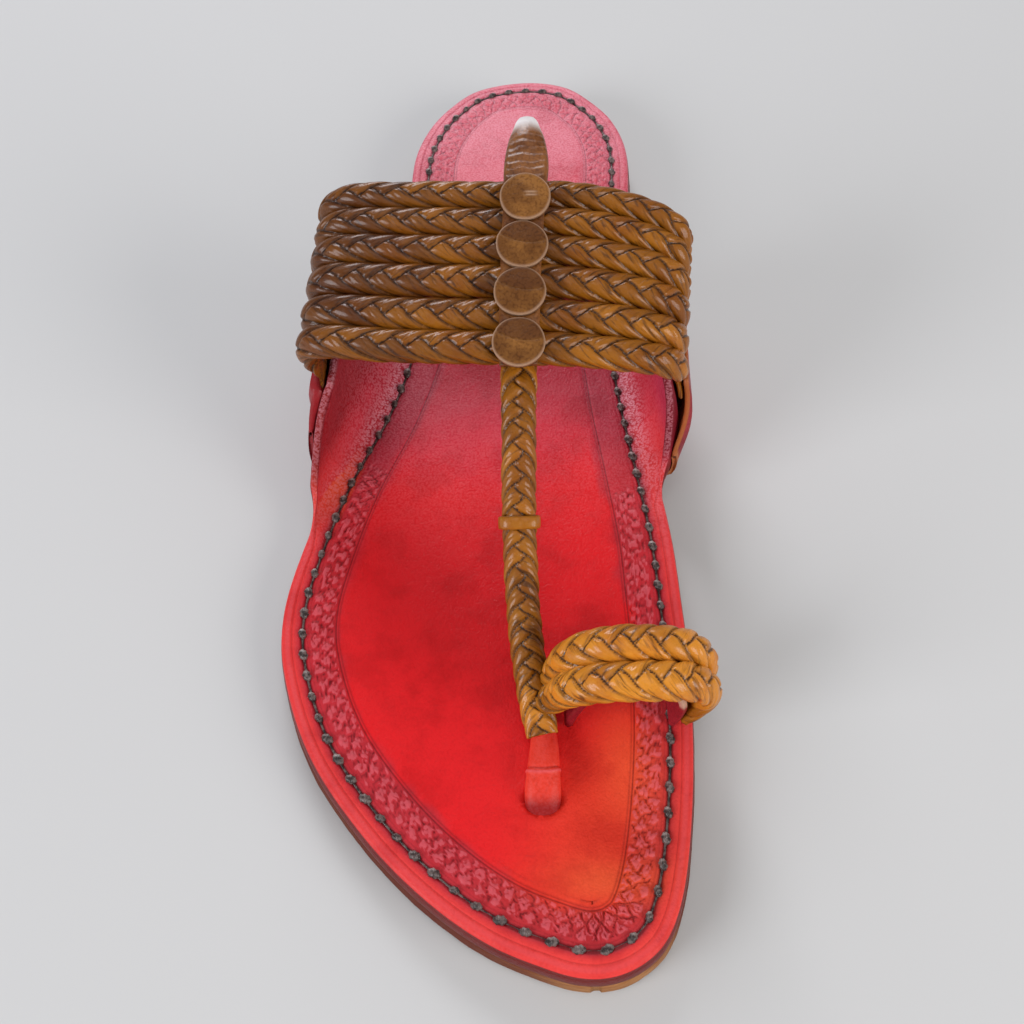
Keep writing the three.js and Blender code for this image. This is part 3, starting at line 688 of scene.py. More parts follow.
tan_leather, shader, tree, grain = leather("tan_leather", 0.9, 0.4, 0.72)
flat_place = stretched(tree, object_place(tree), (120, 120, 1600))
layers = texture(tree, "Noise", flat_place, Scale=1.0, Detail=5.0, Roughness=0.7).outputs["Fac"]
shade = blend_colour(tree, "MIX", ramp(tree, layers, 0.35, 0.65), (0.36, 0.15, 0.045), (0.55, 0.27, 0.1))
patchy = ramp(tree, grain["Mottle"], 0.4, 0.62)
shade = blend_colour(tree, "MULTIPLY", patchy, shade, (0.66, 0.5, 0.42))
shade = blend_colour(tree, "MIX", stored(tree, "edge_dye"), shade, (0.11, 0.012, 0.006))
link(tree, shade, shader.inputs["Base Color"])
bump(tree, shader, maths(tree, "MULTIPLY_ADD", layers, 1.5, grain["Height"]), 0.00012)


def sole_plate(name, node, angles, growth, bottom, top):
    """A layer of the sole with softened edges, its wall a little uneven from the knife."""
    angles = np.asarray(angles)
    halves = []
    for side in ("lateral", "medial"):
        edge = rail_xy(side, angles, np.full_like(angles, growth))
        low, high = bottom(edge[:, 1]), top(edge[:, 1])
        columns = []
        for share, tuck in WALL_ROWS:
            flare = WALL_FLARE * (1 - share) * (high - low)
            knife = 0.1 * ripple(with_height(edge, low), 7, share)
            xy = rail_xy(side, angles, growth + flare - tuck + knife)
            columns.append(with_height(xy, low + share * (high - low)))
        halves.append(np.stack(columns, 1))
    across = np.linspace(0, 1, FLAT_COLUMNS + 2)[1:-1][None, :, None]
    cover = halves[0][:, -1:] * (1 - across) + halves[1][:, -1:] * across
    below = halves[1][:, :1] * (1 - across) + halves[0][:, :1] * across
    below[..., 2] = bottom(below[..., 1])
    points = np.concatenate([halves[0], cover, halves[1][:, ::-1], below], 1)
    rows, columns = points.shape[:2]
    piece = mesh_piece(name, points.reshape(-1, 3), tube_faces(rows, columns), tan_leather)
    # The red dye has run down the cut edge, less at the toe where it is scuffed back to tan.
    share = np.zeros((rows, columns))
    far_wall = columns - FLAT_COLUMNS - len(WALL_ROWS)
    walls = list(range(1, len(WALL_ROWS))) + list(range(far_wall, far_wall + len(WALL_ROWS) - 1))
    wear_and_highlight = 0.75 * np.exp(-((points[..., 0] - 22) / 14) ** 2) * smoothstep(-points[..., 1], 118, 126)
    share[:, walls] = (0.92 - wear_and_highlight)[:, walls]
    keep_values(piece, "edge_dye", share.ravel())
    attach(piece, "root")
    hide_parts(node)


outsole_growth = WALL_FLARE * (INSOLE_THICK + GAP)
heel_growth = outsole_growth + WALL_FLARE * OUTSOLE_THICK - HEEL_INSET
sole_plate("outsole_leather", "outsole", np.linspace(0.02, math.pi - 0.02, 260), outsole_growth,
           underside_z, lambda y: underside_z(y) + OUTSOLE_THICK)
sole_plate("heel_lift", "heel", np.linspace(angle_at(HEEL_BREAST), math.pi - 0.02, 120), heel_growth,
           lambda y: 0 * y, lambda y: underside_z(y) - GAP)

# ------------------------------------------------------------
# Stitches: thick waxed thread in a groove round the whole top sole. Each stitch is a short fat
# grain lying a little askew, and the thread dips between them as a thin black line.
STITCH_PITCH = 5.25
STITCH_LONG, STITCH_WIDE, STITCH_HIGH = 1.3, 0.86, 0.72  # half sizes

thread, shader = principled("waxed_thread", 0.36, coat=0.3, coat_roughness=0.22)
tree = thread.node_tree
fibre = texture(tree, "Wave", object_place(tree), Scale=900.0, Distortion=2.0, Detail=2.0)
wax = texture(tree, "Noise", object_place(tree), Scale=900.0, Detail=3.0)
waxed = ramp(tree, wax.outputs["Fac"], 0.4, 0.62)
shade = blend_colour(tree, "MIX", waxed, (0.035, 0.024, 0.022), (0.17, 0.125, 0.115))
# Painted highlight: pale on the sides of the stitches that face the light from behind and above.
shade = blend_colour(tree, "MIX", stored(tree, "painted_highlight"), shade, (0.62, 0.55, 0.52))
link(tree, shade, shader.inputs["Base Color"])
bump(tree, shader, fibre.outputs["Fac"], 0.00012)

angles = np.linspace(0.012, math.pi - 0.012, 1400)
outer_run, inner_run = (rail_xy(side, angles, np.full_like(angles, -STITCH_INSET)) for side in EARS)
stitch_line = np.concatenate([outer_run, inner_run[::-1], outer_run[:1]])
lengths = distances(stitch_line)
stitch_count = round(lengths[-1] / STITCH_PITCH)


def on_line(distance):
    distance = np.mod(distance, lengths[-1])
    x = np.interp(distance, lengths, stitch_line[:, 0])
    y = np.interp(distance, lengths, stitch_line[:, 1])
    return np.stack([x, y, insole_top_z(y)], -1)


BALL_RINGS, BALL_CORNERS = 11, 16
ball = np.array([
    (math.cos(t) * math.sin(p), math.sin(t) * math.sin(p), math.cos(p))
    for p in np.linspace(0.001, math.pi - 0.001, BALL_RINGS)
    for t in np.linspace(0, 2 * math.pi, BALL_CORNERS + 1)[:-1]
])
stitch_points, stitch_faces, painted_highlight = [], [], []
askew = random.Random(5)
for k in range(stitch_count):
    place = (k + 0.5) * lengths[-1] / stitch_count
    middle_at, ahead = on_line(np.array([place, place + 0.8]))
    way = unit(ahead - middle_at)
    lean = 0.32 + askew.uniform(-0.14, 0.14)
    side_way = np.array([-way[1], way[0], 0])
    c, d = math.cos(lean), math.sin(lean)
    way, side_way = way * c + side_way * d, side_way * c - way * d
    grow = 1 + askew.uniform(-0.12, 0.15)
    fat = ball * (STITCH_LONG * grow, STITCH_WIDE * grow, STITCH_HIGH)
    twist = 1 + 0.14 * np.cos(3 * math.pi * ball[:, 0] + 2 * np.arctan2(ball[:, 1], ball[:, 2]))
    fat[:, 1:] *= twist[:, None]
    rows = middle_at + fat[:, :1] * way + fat[:, 1:2] * side_way + fat[:, 2:] * (0, 0, 1) + (0, 0, 0.05)
    first = len(stitch_points) * len(ball)
    stitch_faces += [tuple(i + first for i in face) for face in ring_faces(BALL_RINGS, BALL_CORNERS)]
    stitch_points.append(rows)
    # Painted highlight on the side of each stitch that faces back and up, towards the light behind the
    # heel, at a random strength.
    facing = (rows - middle_at) @ np.array([0, 0.8, 0.6])
    painted_highlight.append(smoothstep(facing, 0.6, 1.05) * askew.uniform(0.3, 1))
stitches = mesh_piece("sole_stitches", np.concatenate(stitch_points), stitch_faces, thread)
keep_values(stitches, "painted_highlight", np.concatenate(painted_highlight))
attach(stitches, "root")

places = np.linspace(0, lengths[-1], stitch_count * 6 + 1)[:-1]
wave = np.cos(2 * math.pi * (places / lengths[-1] * stitch_count - 0.5))
thread_middle = on_line(places)
thread_middle[:, 2] += -0.3 + 0.1 * wave
ahead = on_line(places + 0.5) - on_line(places - 0.5)
across = unit(np.stack([-ahead[:, 1], ahead[:, 0], 0 * places], -1))
THREAD_CORNERS = 8
corner = np.linspace(0, 2 * math.pi, THREAD_CORNERS + 1)[:-1]
thread_rings = (thread_middle[:, None] + 0.25 * np.cos(corner)[None, :, None] * across[:, None]
                + 0.24 * np.sin(corner)[None, :, None] * np.array([0, 0, 1]))
thread_faces = ring_faces(len(places), THREAD_CORNERS, loop=True)
thread_run = mesh_piece("stitch_thread", thread_rings.reshape(-1, 3), thread_faces, thread)
keep_values(thread_run, "painted_highlight", np.zeros(len(places) * THREAD_CORNERS))
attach(thread_run, "root")

# ------------------------------------------------------------
# Outer ears: a second, thinner layer of dark red leather on each side, glued outside the ear of
# the top sole. The beaten ends of the cords are trapped between the two layers.
EAR_OUTER_THICK = 1.1
EAR_OUTER_ROOT = 0.9
CORD_POCKET = 2.2

dark_leather, shader, tree, grain = leather("dark_red_leather", 0.6, 0.8, 0.4, coat=0.08, specular=0.22)
mottled = ramp(tree, grain["Mottle"], 0.3, 0.7)
shade = blend_colour(tree, "MIX", mottled, (0.2, 0.01, 0.017), (0.35, 0.018, 0.028))
shade = pored(tree, grain, 0.4, shade, (0.4, 0.3, 0.3))
shade = blend_colour(tree, "MIX", stored(tree, "raw_edge"), shade, stored(tree, "edge_colour", "Color"))
link(tree, shade, shader.inputs["Base Color"])
bump(tree, shader, grain["Height"], 0.00009)

for side in ("lateral", "medial"):
    low, high, front, whole = EARS[side]["pinch"]
    ease = np.sin(np.linspace(0, math.pi / 2, 16))
    rows_y = np.concatenate([
        front + (whole - front) * ease[:-1], np.linspace(whole, 25, 46)[:-1],
        31 - 6 * np.sin(np.linspace(math.pi / 2, 0, 16)),
    ])
    angles = angle_at(rows_y)
    at, share = ear_section(side, angles)
    pocket = CORD_POCKET * smoothstep(rows_y, front, whole) * (1 - smoothstep(rows_y, 22, 29))
    full = np.ones_like(angles)

    def ear_wall(outwards, pocket):
        root_xy = rail_xy(side, angles, full * (WALL_FLARE + outwards))
        root = with_height(root_xy, insole_top_z(root_xy[:, 1]) - EAR_OUTER_ROOT)
        rows = [root, root + (at(full * 0.54, full * (EAR_THICK + outwards)) - root) * 0.5]
        for v in np.linspace(0.54, 0.95, 20):
            rows.append(at(full * v, EAR_THICK + outwards + pocket * smoothstep(v, low, high)))
        return rows

    # The lateral one is skived thick at its front, so that it closes on the ear there.
    closed = pocket * (smoothstep(rows_y, whole, whole + 3) if side == "lateral" else 1)
    inside, outside = ear_wall(GAP, closed), ear_wall(GAP + EAR_OUTER_THICK, pocket)
    top_mid = (inside[-1] + outside[-1]) / 2
    top_mid[:, 2] += 0.35
    points = np.stack(inside + [top_mid] + outside[::-1], 1)
    rows, columns = points.shape[:2]
    faces = ring_faces(rows, columns)
    faces += [tuple(range(columns)), tuple((rows - 1) * columns + j for j in range(columns))[::-1]]
    outer_ear = mesh_piece("outer_ear_" + side, points.reshape(-1, 3), faces, dark_leather)
    raw = np.zeros((rows, columns))
    raw[:, len(inside) - 1:len(inside) + 2] = 0.8
    raw[:2], raw[-2:] = 0.8, 0.8
    raw[:, :len(inside)] = np.maximum(raw[:, :len(inside)], 0.6 if side == "medial" else 0.1)
    edge_colour = (0.42, 0.13, 0.03) if side == "medial" else (0.3, 0.015, 0.02)
    keep_values(outer_ear, "raw_edge", raw.ravel())
    keep_values(outer_ear, "edge_colour", np.tile(edge_colour, (rows * columns, 1)))
    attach(outer_ear, "root")
    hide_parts("ear_" + side)

# ------------------------------------------------------------
# Instep band: six cords side by side, each plaited from three folded thongs of brown leather.
# Their ends are beaten flat and glued down between the two layers of each ear.
BAND_SLOPE = math.radians(20)
ROW_PLACES = [0, 0.205, 0.425, 0.63, 0.82, 1]
BAND_FRONT = np.array([
    (-38, -10.4, 47.4), (-36.8, -11.3, 51.2), (-32.6, -12.9, 53.2), (-18, -15.6, 54), (-1, -17.2, 54.3),
    (14, -17.8, 53.8), (27, -18.1, 52.1), (37.2, -17.2, 48.6), (41.4, -15.4, 44.6),
])
BAND_BACK = np.array([
    (-34, 20.3, 57), (-32.6, 20.5, 60.6), (-28.6, 20, 63.2), (-14, 17.6, 65.4), (2.7, 15.9, 66),
    (17, 16.2, 65.3), (30, 15.6, 63), (40, 13.8, 59.6), (44.2, 12, 56.2),
])
CORD_ENDS = {"lateral": (-9, 19), "medial": (-10.5, 11.5)}
CORD_HALF = 3.05
CORD_END_HALF = 0.75
TINTS = 997


def curve_through(points, step):
    """A centripetal curve through points, cut into even steps. Returns points and their place 0..1."""
    p = np.asarray(points, float)
    ends = np.concatenate([[2 * p[0] - p[1]], p, [2 * p[-1] - p[-2]]])
    fine, place = [], []
    for i in range(len(p) - 1):
        a, b, c, d = ends[i:i + 4]
        gaps = [math.sqrt(max(1e-6, np.linalg.norm(q - r))) for q, r in ((b, a), (c, b), (d, c))]
        leave = ((b - a) / gaps[0] - (c - a) / (gaps[0] + gaps[1]) + (c - b) / gaps[1]) * gaps[1]
        arrive = ((c - b) / gaps[1] - (d - b) / (gaps[1] + gaps[2]) + (d - c) / gaps[2]) * gaps[1]
        t = np.linspace(0, 1, 60, endpoint=i == len(p) - 2)[:, None]
        fine.append((2 * t**3 - 3 * t**2 + 1) * b + (t**3 - 2 * t**2 + t) * leave
                    + (3 * t**2 - 2 * t**3) * c + (t**3 - t**2) * arrive)
        place.append((i + t[:, 0]) / (len(p) - 1))
    fine, place = np.concatenate(fine), np.concatenate(place)
    length = distances(fine)
    even = np.linspace(0, length[-1], max(8, int(length[-1] / step)) + 1)
    line = np.stack([np.interp(even, length, fine[:, k]) for k in range(3)], -1)
    return line, np.interp(even, length, place), even


def plait(name, rows, wide, thick, across, leaf, slant, relief, seed=1, fade_and_painted_light=None):
    """A plait of folded thongs along a centre line. leaf is the distance between two leaves on one side,
    slant how far a leaf trails from the middle of the cord to its side, relief its height. wide and
    thick are half sizes at each row. The last argument, a function of the points, says how light the
    leather has stayed, and on the toe loop it also paints light on the top of the arch."""
    line, place, even = curve_through(rows, 0.3)
    run = unit(np.gradient(line, axis=0))
    across = np.asarray(across, float)
    side_way = unit(across - run * (run @ across)[:, None])
    up_way = np.cross(side_way, run)
    if up_way[len(up_way) // 2, 2] < 0:
        up_way = -up_way
    steps_at = np.linspace(0, 1, len(rows))
    half_wide, half_thick = through(steps_at, wide, place), through(steps_at, thick, place)
    # Place round the cord: 0 on top, 1 and -1 at its sides, 2 underneath.
    turn = np.concatenate([np.linspace(-1.3, 1.3, 62), np.linspace(1.3, 2.7, 13)[1:-1]])
    turn = np.where(turn > 2, turn - 4, turn)[None, :]
    chance = np.random.default_rng(seed)
    drift = chance.uniform(0, 6, 4)
    s = even + 0.35 * np.sin(even / 9 + drift[0]) + 0.2 * np.sin(even / 3.7 + drift[1]) + drift[2]
    s = s[:, None] + 0 * turn
    leaves = {}
    for side in (1, -1):
        b = side * turn
        trail = slant * (b - 0.12 * np.sin(math.pi * np.clip(b, 0, 1)))
        count = (s - trail) / leaf + (0 if side > 0 else 0.5)
        number = np.floor(count)
        f = count - number
        # A leaf crosses the middle a little and ends in a rounded tip.
        tip = -0.4 * np.sqrt(np.clip(1 - (2 * f - 0.9) ** 2, 0.02, 1))
        leaves[side] = b, count, number, f, number + (0.5 if side > 0 else 0), tip
    covers = {side: leaves[side][0] >= leaves[side][5] for side in (1, -1)}
    upper = np.where(covers[1] & covers[-1], leaves[1][4] < leaves[-1][4], covers[1])
    pick = lambda k, mine=True: np.where(upper == mine, leaves[1][k], leaves[-1][k])
    b, count, number, f, own_order, tip = (pick(k) for k in range(6))
    other_b, _, _, other_f, other_order, other_tip = (pick(k, False) for k in range(6))
    tint = chance.uniform(0, 1, TINTS)
    own = tint[(number.astype(int) * 2 + upper) % TINTS]
    beside = np.where(other_b >= other_tip, smoothstep(other_f, 0.0, 0.15), 1)
    over = (other_b < other_tip) & (other_order < own_order)
    ends = beside * np.where(over, smoothstep(other_tip - other_b, 0.0, 0.14), 1)
    full = 1 - np.abs(2 * f - 1) ** 2.6
    step = smoothstep(f, 0.0, 0.11)
    fold = -0.16 * np.exp(-((f - 0.3 - 0.35 * own) / 0.05) ** 2) * (own > 0.35)
    dive = 0.35 * (1 - smoothstep(b - tip, 0.0, 0.4))
    lift = (0.5 * full + 0.5 * f + fold - dive) * (0.3 + 0.7 * step) * (0.3 + 0.7 * ends)
    squash = np.clip(half_thick / 2.4, 0.15, 1)[:, None]
    high = relief * squash * (lift - 0.75 + 0.2 * (own - 0.5))
    angle = turn * math.pi / 2
    x = np.sin(angle) * (half_wide[:, None] + high)
    z = np.cos(angle) * (half_thick[:, None] + high)
    points = line[:, None] + side_way[:, None] * x[..., None] + up_way[:, None] * z[..., None]
    rings, corners = points.shape[:2]
    piece = mesh_piece(name, points.reshape(-1, 3), tube_faces(rings, corners), braided_leather)
    weld(piece)
    # Painted shade: darker in the slits between the leaves, most near the middle of the cord, and towards
    # each leaf's edges.
    shadow = 1 - (1 - step) * (0.55 + 0.45 * (1 - smoothstep(np.abs(turn), 0.2, 0.7)))
    keep_values(piece, "lit_share", (shadow * ends * (0.6 + 0.4 * full)).ravel())
    keep_values(piece, "tone", own.ravel())
    keep_values(piece, "fade_and_painted_light", np.clip(fade_and_painted_light(points) if fade_and_painted_light else 0.5 + 0 * own, 0, 1).ravel())
    keep_uv(piece, "lie", np.stack([s + 31 * own, count * leaf * 0.4], -1).reshape(-1, 2) * 0.01)
    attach(piece, "root")
    return piece


braided_leather, shader, tree, grain = leather(
    "braided_leather", 0.42, 0.3, 0.34, coat=0.4, coat_roughness=0.16, specular=0.14)
lie = tree.nodes.new("ShaderNodeUVMap")
lie.uv_map = "lie"
long_way = stretched(tree, lie.outputs[0], (22, 170, 1))
creases = texture(
    tree, "Noise", long_way, Scale=1.0, Detail=4.0, Roughness=0.6, Distortion=0.7).outputs["Fac"]
umber, brown = (0.018, 0.006, 0.004), (0.12, 0.036, 0.005)
ochre, honey = (0.31, 0.105, 0.006), (0.72, 0.27, 0.024)
warm = maths(tree, "MULTIPLY_ADD", stored(tree, "tone"), 0.35, stored(tree, "fade_and_painted_light"))
shade = blend_colour(tree, "MIX", ramp(tree, warm, 0.1, 0.75), brown, ochre)
shade = blend_colour(tree, "MIX", ramp(tree, warm, 0.7, 1.3), shade, honey)
patchy = ramp(tree, grain["Mottle"], 0.45, 0.65)
shade = blend_colour(tree, "MULTIPLY", patchy, shade, (0.8, 0.7, 0.65))
streak = maths(tree, "MULTIPLY", ramp(tree, creases, 0.5, 0.3), 0.7)
shade = blend_colour(tree, "MIX", streak, shade, umber)
# Painted shade in the slits between the leaves.
slit = maths(tree, "MULTIPLY", ramp(tree, stored(tree, "lit_share"), 0.92, 0.1), 0.9)
shade = blend_colour(tree, "MIX", slit, shade, umber)
link(tree, shade, shader.inputs["Base Color"])
link(tree, maths(tree, "MULTIPLY_ADD", creases, 0.3, 0.2), shader.inputs["Roughness"])
bump(tree, shader, maths(tree, "MULTIPLY_ADD", creases, 1.6, grain["Height"]), 0.00012)

up_band = np.array([0, math.cos(BAND_SLOPE), math.sin(BAND_SLOPE)])


def tucked(side, place, v):
    """The middle of a cord's flattened end, between the two layers of an ear."""
    y = CORD_ENDS[side][0] + place * (CORD_ENDS[side][1] - CORD_ENDS[side][0])
    at, _ = ear_section(side, angle_at(y))
    return at(np.array([v]), EAR_THICK + CORD_POCKET / 2 + 0.05)[0]


def band_sun(points):
    """The band has darkened on the lateral side and stayed ochre by the discs and medially."""
    x, y = points[..., 0], points[..., 1]
    across_band = 0.03 + 0.24 * smoothstep(x, -30, -6) + 0.25 * smoothstep(x, 12, 32)
    return across_band + 0.14 * smoothstep(-y, 6, 15)


HALF_WIDTHS = [3.65, 3.75, 3.75, 3.5, 3.3, 3.2]  # the cords press against each other
for k, (place, half) in enumerate(zip(ROW_PLACES, HALF_WIDTHS)):
    arch = BAND_FRONT + place * (BAND_BACK - BAND_FRONT)
    rows = [tucked("lateral", place, v) for v in EARS["lateral"]["tucks"]] + list(arch)
    rows += [tucked("medial", place, v) for v in EARS["medial"]["tucks"][::-1]]
    wide = [CORD_HALF - 0.2] * 3 + [half] * 9 + [CORD_HALF - 0.2] * 3
    flat, shoulder = [CORD_END_HALF] * 3, [CORD_HALF - 0.4]
    thick = flat + shoulder + [CORD_HALF] * 7 + shoulder + flat
    name = f"band_cord_{6 - k}"
    cord = plait(name, rows, wide, thick, up_band, 5.7, 7.2, 0.95, seed=10 + k, fade_and_painted_light=band_sun)
    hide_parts("upper")

# ------------------------------------------------------------
# Long braid: one narrower plait from under the front disc down to the toe, where its end is
# beaten flat and glued into the red sleeve. Two more plaits arch side by side as the toe loop.
TOE_BRAID = [  # centre line, half width, half thickness
    ((7.4, -7, 50.6), 3.4, 1.2), ((7.4, -16, 49.6), 3.4, 1.9), ((7.2, -23.5, 48.2), 3.3, 2.3),
    ((6.9, -32, 43.6), 3.2, 2.4), ((6.4, -46.6, 32.4), 3.1, 2.4), ((6.7, -63, 21.6), 3.1, 2.4),
    ((8, -75.5, 14.4), 3.1, 2.4), ((9.3, -82.5, 11.5), 3, 1.9), ((9.8, -85.2, 10.7), 2.8, 1.3),
]
centres, halves, thicks = zip(*TOE_BRAID)
long_braid = plait(
    "long_braid", centres, [h + 0.5 for h in halves], [t + 0.4 for t in thicks], (1, 0, 0),
    4.2, 4.6, 0.9, seed=31, fade_and_painted_light=lambda points: 0.6 + 0.15 * smoothstep(-points[..., 1], 60, 84),
)
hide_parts("upper")

TOE_LOOP = [  # x, y of the back and of the front cord, z, half width, half thickness
    (9.4, -75.5, -78, 13, 2.4, 1.8), (11.6, -75, -79.2, 15.4, 2.8, 2.4),
    (13.4, -74.8, -80.2, 19.8, 3.1, 2.8), (15.4, -75.1, -81.7, 25.2, 3.4, 3),
    (20.6, -75.5, -83, 30.2, 3.6, 3.1), (27.5, -75.7, -83.6, 31.8, 3.6, 3.1),
    (34.4, -75.6, -83.4, 31, 3.6, 3.1), (40, -75.4, -82.5, 27.8, 3.4, 3),
    (42.6, -75.6, -81.8, 23.2, 3.2, 2.8), (42.4, -76.1, -81.4, 18.8, 3, 2.3),
    (41, -76.6, -81.2, 14.6, 2.8, 1.6), (39.3, -77, -81, 11, 2.6, 1.1),
]
for name, column in (("toe_loop_back", 1), ("toe_loop_front", 2)):
    rows = [(r[0], r[column], r[3]) for r in TOE_LOOP]
    wide, thick = [r[4] + 0.45 for r in TOE_LOOP], [r[5] + 0.2 for r in TOE_LOOP]
    cord = plait(
        name, rows, wide, thick, (0, 1, 0), 4.4, 5.0, 1.0, seed=40 + column,
        # Painted light: the loop's cords are painted lighter towards the top of their arch.
        fade_and_painted_light=lambda points: 0.55 + 0.45 * smoothstep(points[..., 2], 12, 24),
    )
    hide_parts("upper")

# ------------------------------------------------------------
# Spine strap: a flat strip of brown leather sewn over the middle of the band. It tapers behind
# the last cord into a free tongue that curls down, creased across where it bends.
SPINE_THICK = 1.4
SPINE = [  # centre line, half width
    ((7.3, -23.2, 55.1), 3.9), ((7.6, -18.4, 57.4), 4.2), ((8.6, -1.4, 63.7), 4.3),
    ((9.8, 12.4, 68.5), 4.5), ((10.4, 19.6, 70.6), 4.8), ((10.7, 26.4, 71.4), 4.1),
    ((10.9, 32.6, 70.5), 2.9), ((11, 37.6, 67.8), 1.8), ((11, 40.6, 64.9), 1.2), ((11, 41.6, 63.6), 0.7),
]
brown_leather, shader, tree, grain = leather(
    "brown_leather", 0.5, 0.5, 0.36, coat=0.2, coat_roughness=0.22, specular=0.25)
mottled = ramp(tree, grain["Mottle"], 0.38, 0.62)
shade = blend_colour(tree, "MIX", mottled, (0.13, 0.04, 0.01), (0.25, 0.09, 0.022))
shade = pored(tree, grain, 0.6, shade, (0.35, 0.25, 0.2))
# Painted highlight: the curled tip of the tongue is painted near white.
shade = blend_colour(tree, "MIX", stored(tree, "wear_and_highlight"), shade, (0.9, 0.84, 0.84))
link(tree, shade, shader.inputs["Base Color"])
bump(tree, shader, grain["Height"], 0.00012)


def strap(name, rows, across, thick, material, step=0.4, relief=None):
    """A flat strap with rounded edges along a centre line; relief adds to its face."""
    centres, halves = zip(*rows)
    line, place, even = curve_through(centres, step)
    across = np.asarray(across, float)
    up_way = unit(np.cross(across, unit(np.gradient(line, axis=0))))
    if up_way[len(up_way) // 2, 2] < 0:
        up_way = -up_way
    half = through(np.linspace(0, 1, len(rows)), halves, place)
    spread = np.linspace(-1, 1, 18)
    ring = []
    for face in (1, -1):
        for s in spread[::face]:
            edge = max(0, abs(s) - 0.86) / 0.14
            lift = face * thick / 2 * math.sqrt(max(0.02, 1 - edge**2))
            point = line + across * (half * s)[:, None] + up_way * lift
            if relief is not None and face == 1:
                point = point + up_way * (relief(even, s * half, even[-1]) * (1 - edge))[:, None]
            ring.append(point)
    points = np.stack(ring, 1)
    piece = mesh_piece(name, points.reshape(-1, 3), tube_faces(*points.shape[:2]), material)
    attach(piece, "root")
    return piece, np.repeat(even, points.shape[1]), even[-1]


def tongue_creases(along, aside, length):
    bend = smoothstep(along, length - 30, length - 26) * (1 - smoothstep(along, length - 17, length - 14))
    waves = np.sin(along / 0.28 + 0.8 * np.sin(aside * 1.3)) * 0.09
    waves = waves + np.sin(along / 0.47 + aside * 0.3) * 0.07
    camber = 1.3 * smoothstep(along, length - 26, length - 14) * (1 - (aside / 3.4) ** 2)
    return bend * waves + np.maximum(camber, 0) - 0.05


spine_strap, spine_along, spine_length = strap(
    "spine_strap", SPINE, (1, 0, 0), SPINE_THICK, brown_leather, step=0.2, relief=tongue_creases)
# Painted highlight over the end of the tongue, where it curls down.
keep_values(spine_strap, "wear_and_highlight", 0.95 * smoothstep(spine_along, spine_length - 16, spine_length - 11))
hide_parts("upper")

# ------------------------------------------------------------
# Discs: four rounds of brown leather glued down the spine strap. The three front ones are folded
# a little across the middle, darker above the fold and pebbled below it, with a pale cut rim.
DISC_RADIUS, DISC_EDGE, DISC_DOME, DISC_LIFT = 5.4, 1.1, 0.5, 4.75
DISC_PLACES = [(9.9, 0.905), (8.9, 0.59), (8.1, 0.285), (7.5, -0.035)]

disc_leather, shader, tree, grain = leather("disc_leather", 0.45, 0.5, 0.55, specular=0.12)
mottled = ramp(tree, grain["Mottle"], 0.38, 0.64)
shade = blend_colour(tree, "MIX", mottled, (0.15, 0.055, 0.012), (0.29, 0.12, 0.028))
folded = maths(tree, "MULTIPLY", stored(tree, "upper_half"), 0.75)
shade = blend_colour(tree, "MIX", folded, shade, (0.1, 0.033, 0.01))
shade = pored(tree, grain, 0.55, shade, (0.4, 0.3, 0.25))
shade = blend_colour(tree, "MIX", stored(tree, "rim"), shade, (0.42, 0.26, 0.17))
link(tree, shade, shader.inputs["Base Color"])
bump(tree, shader, grain["Height"], 0.00014)

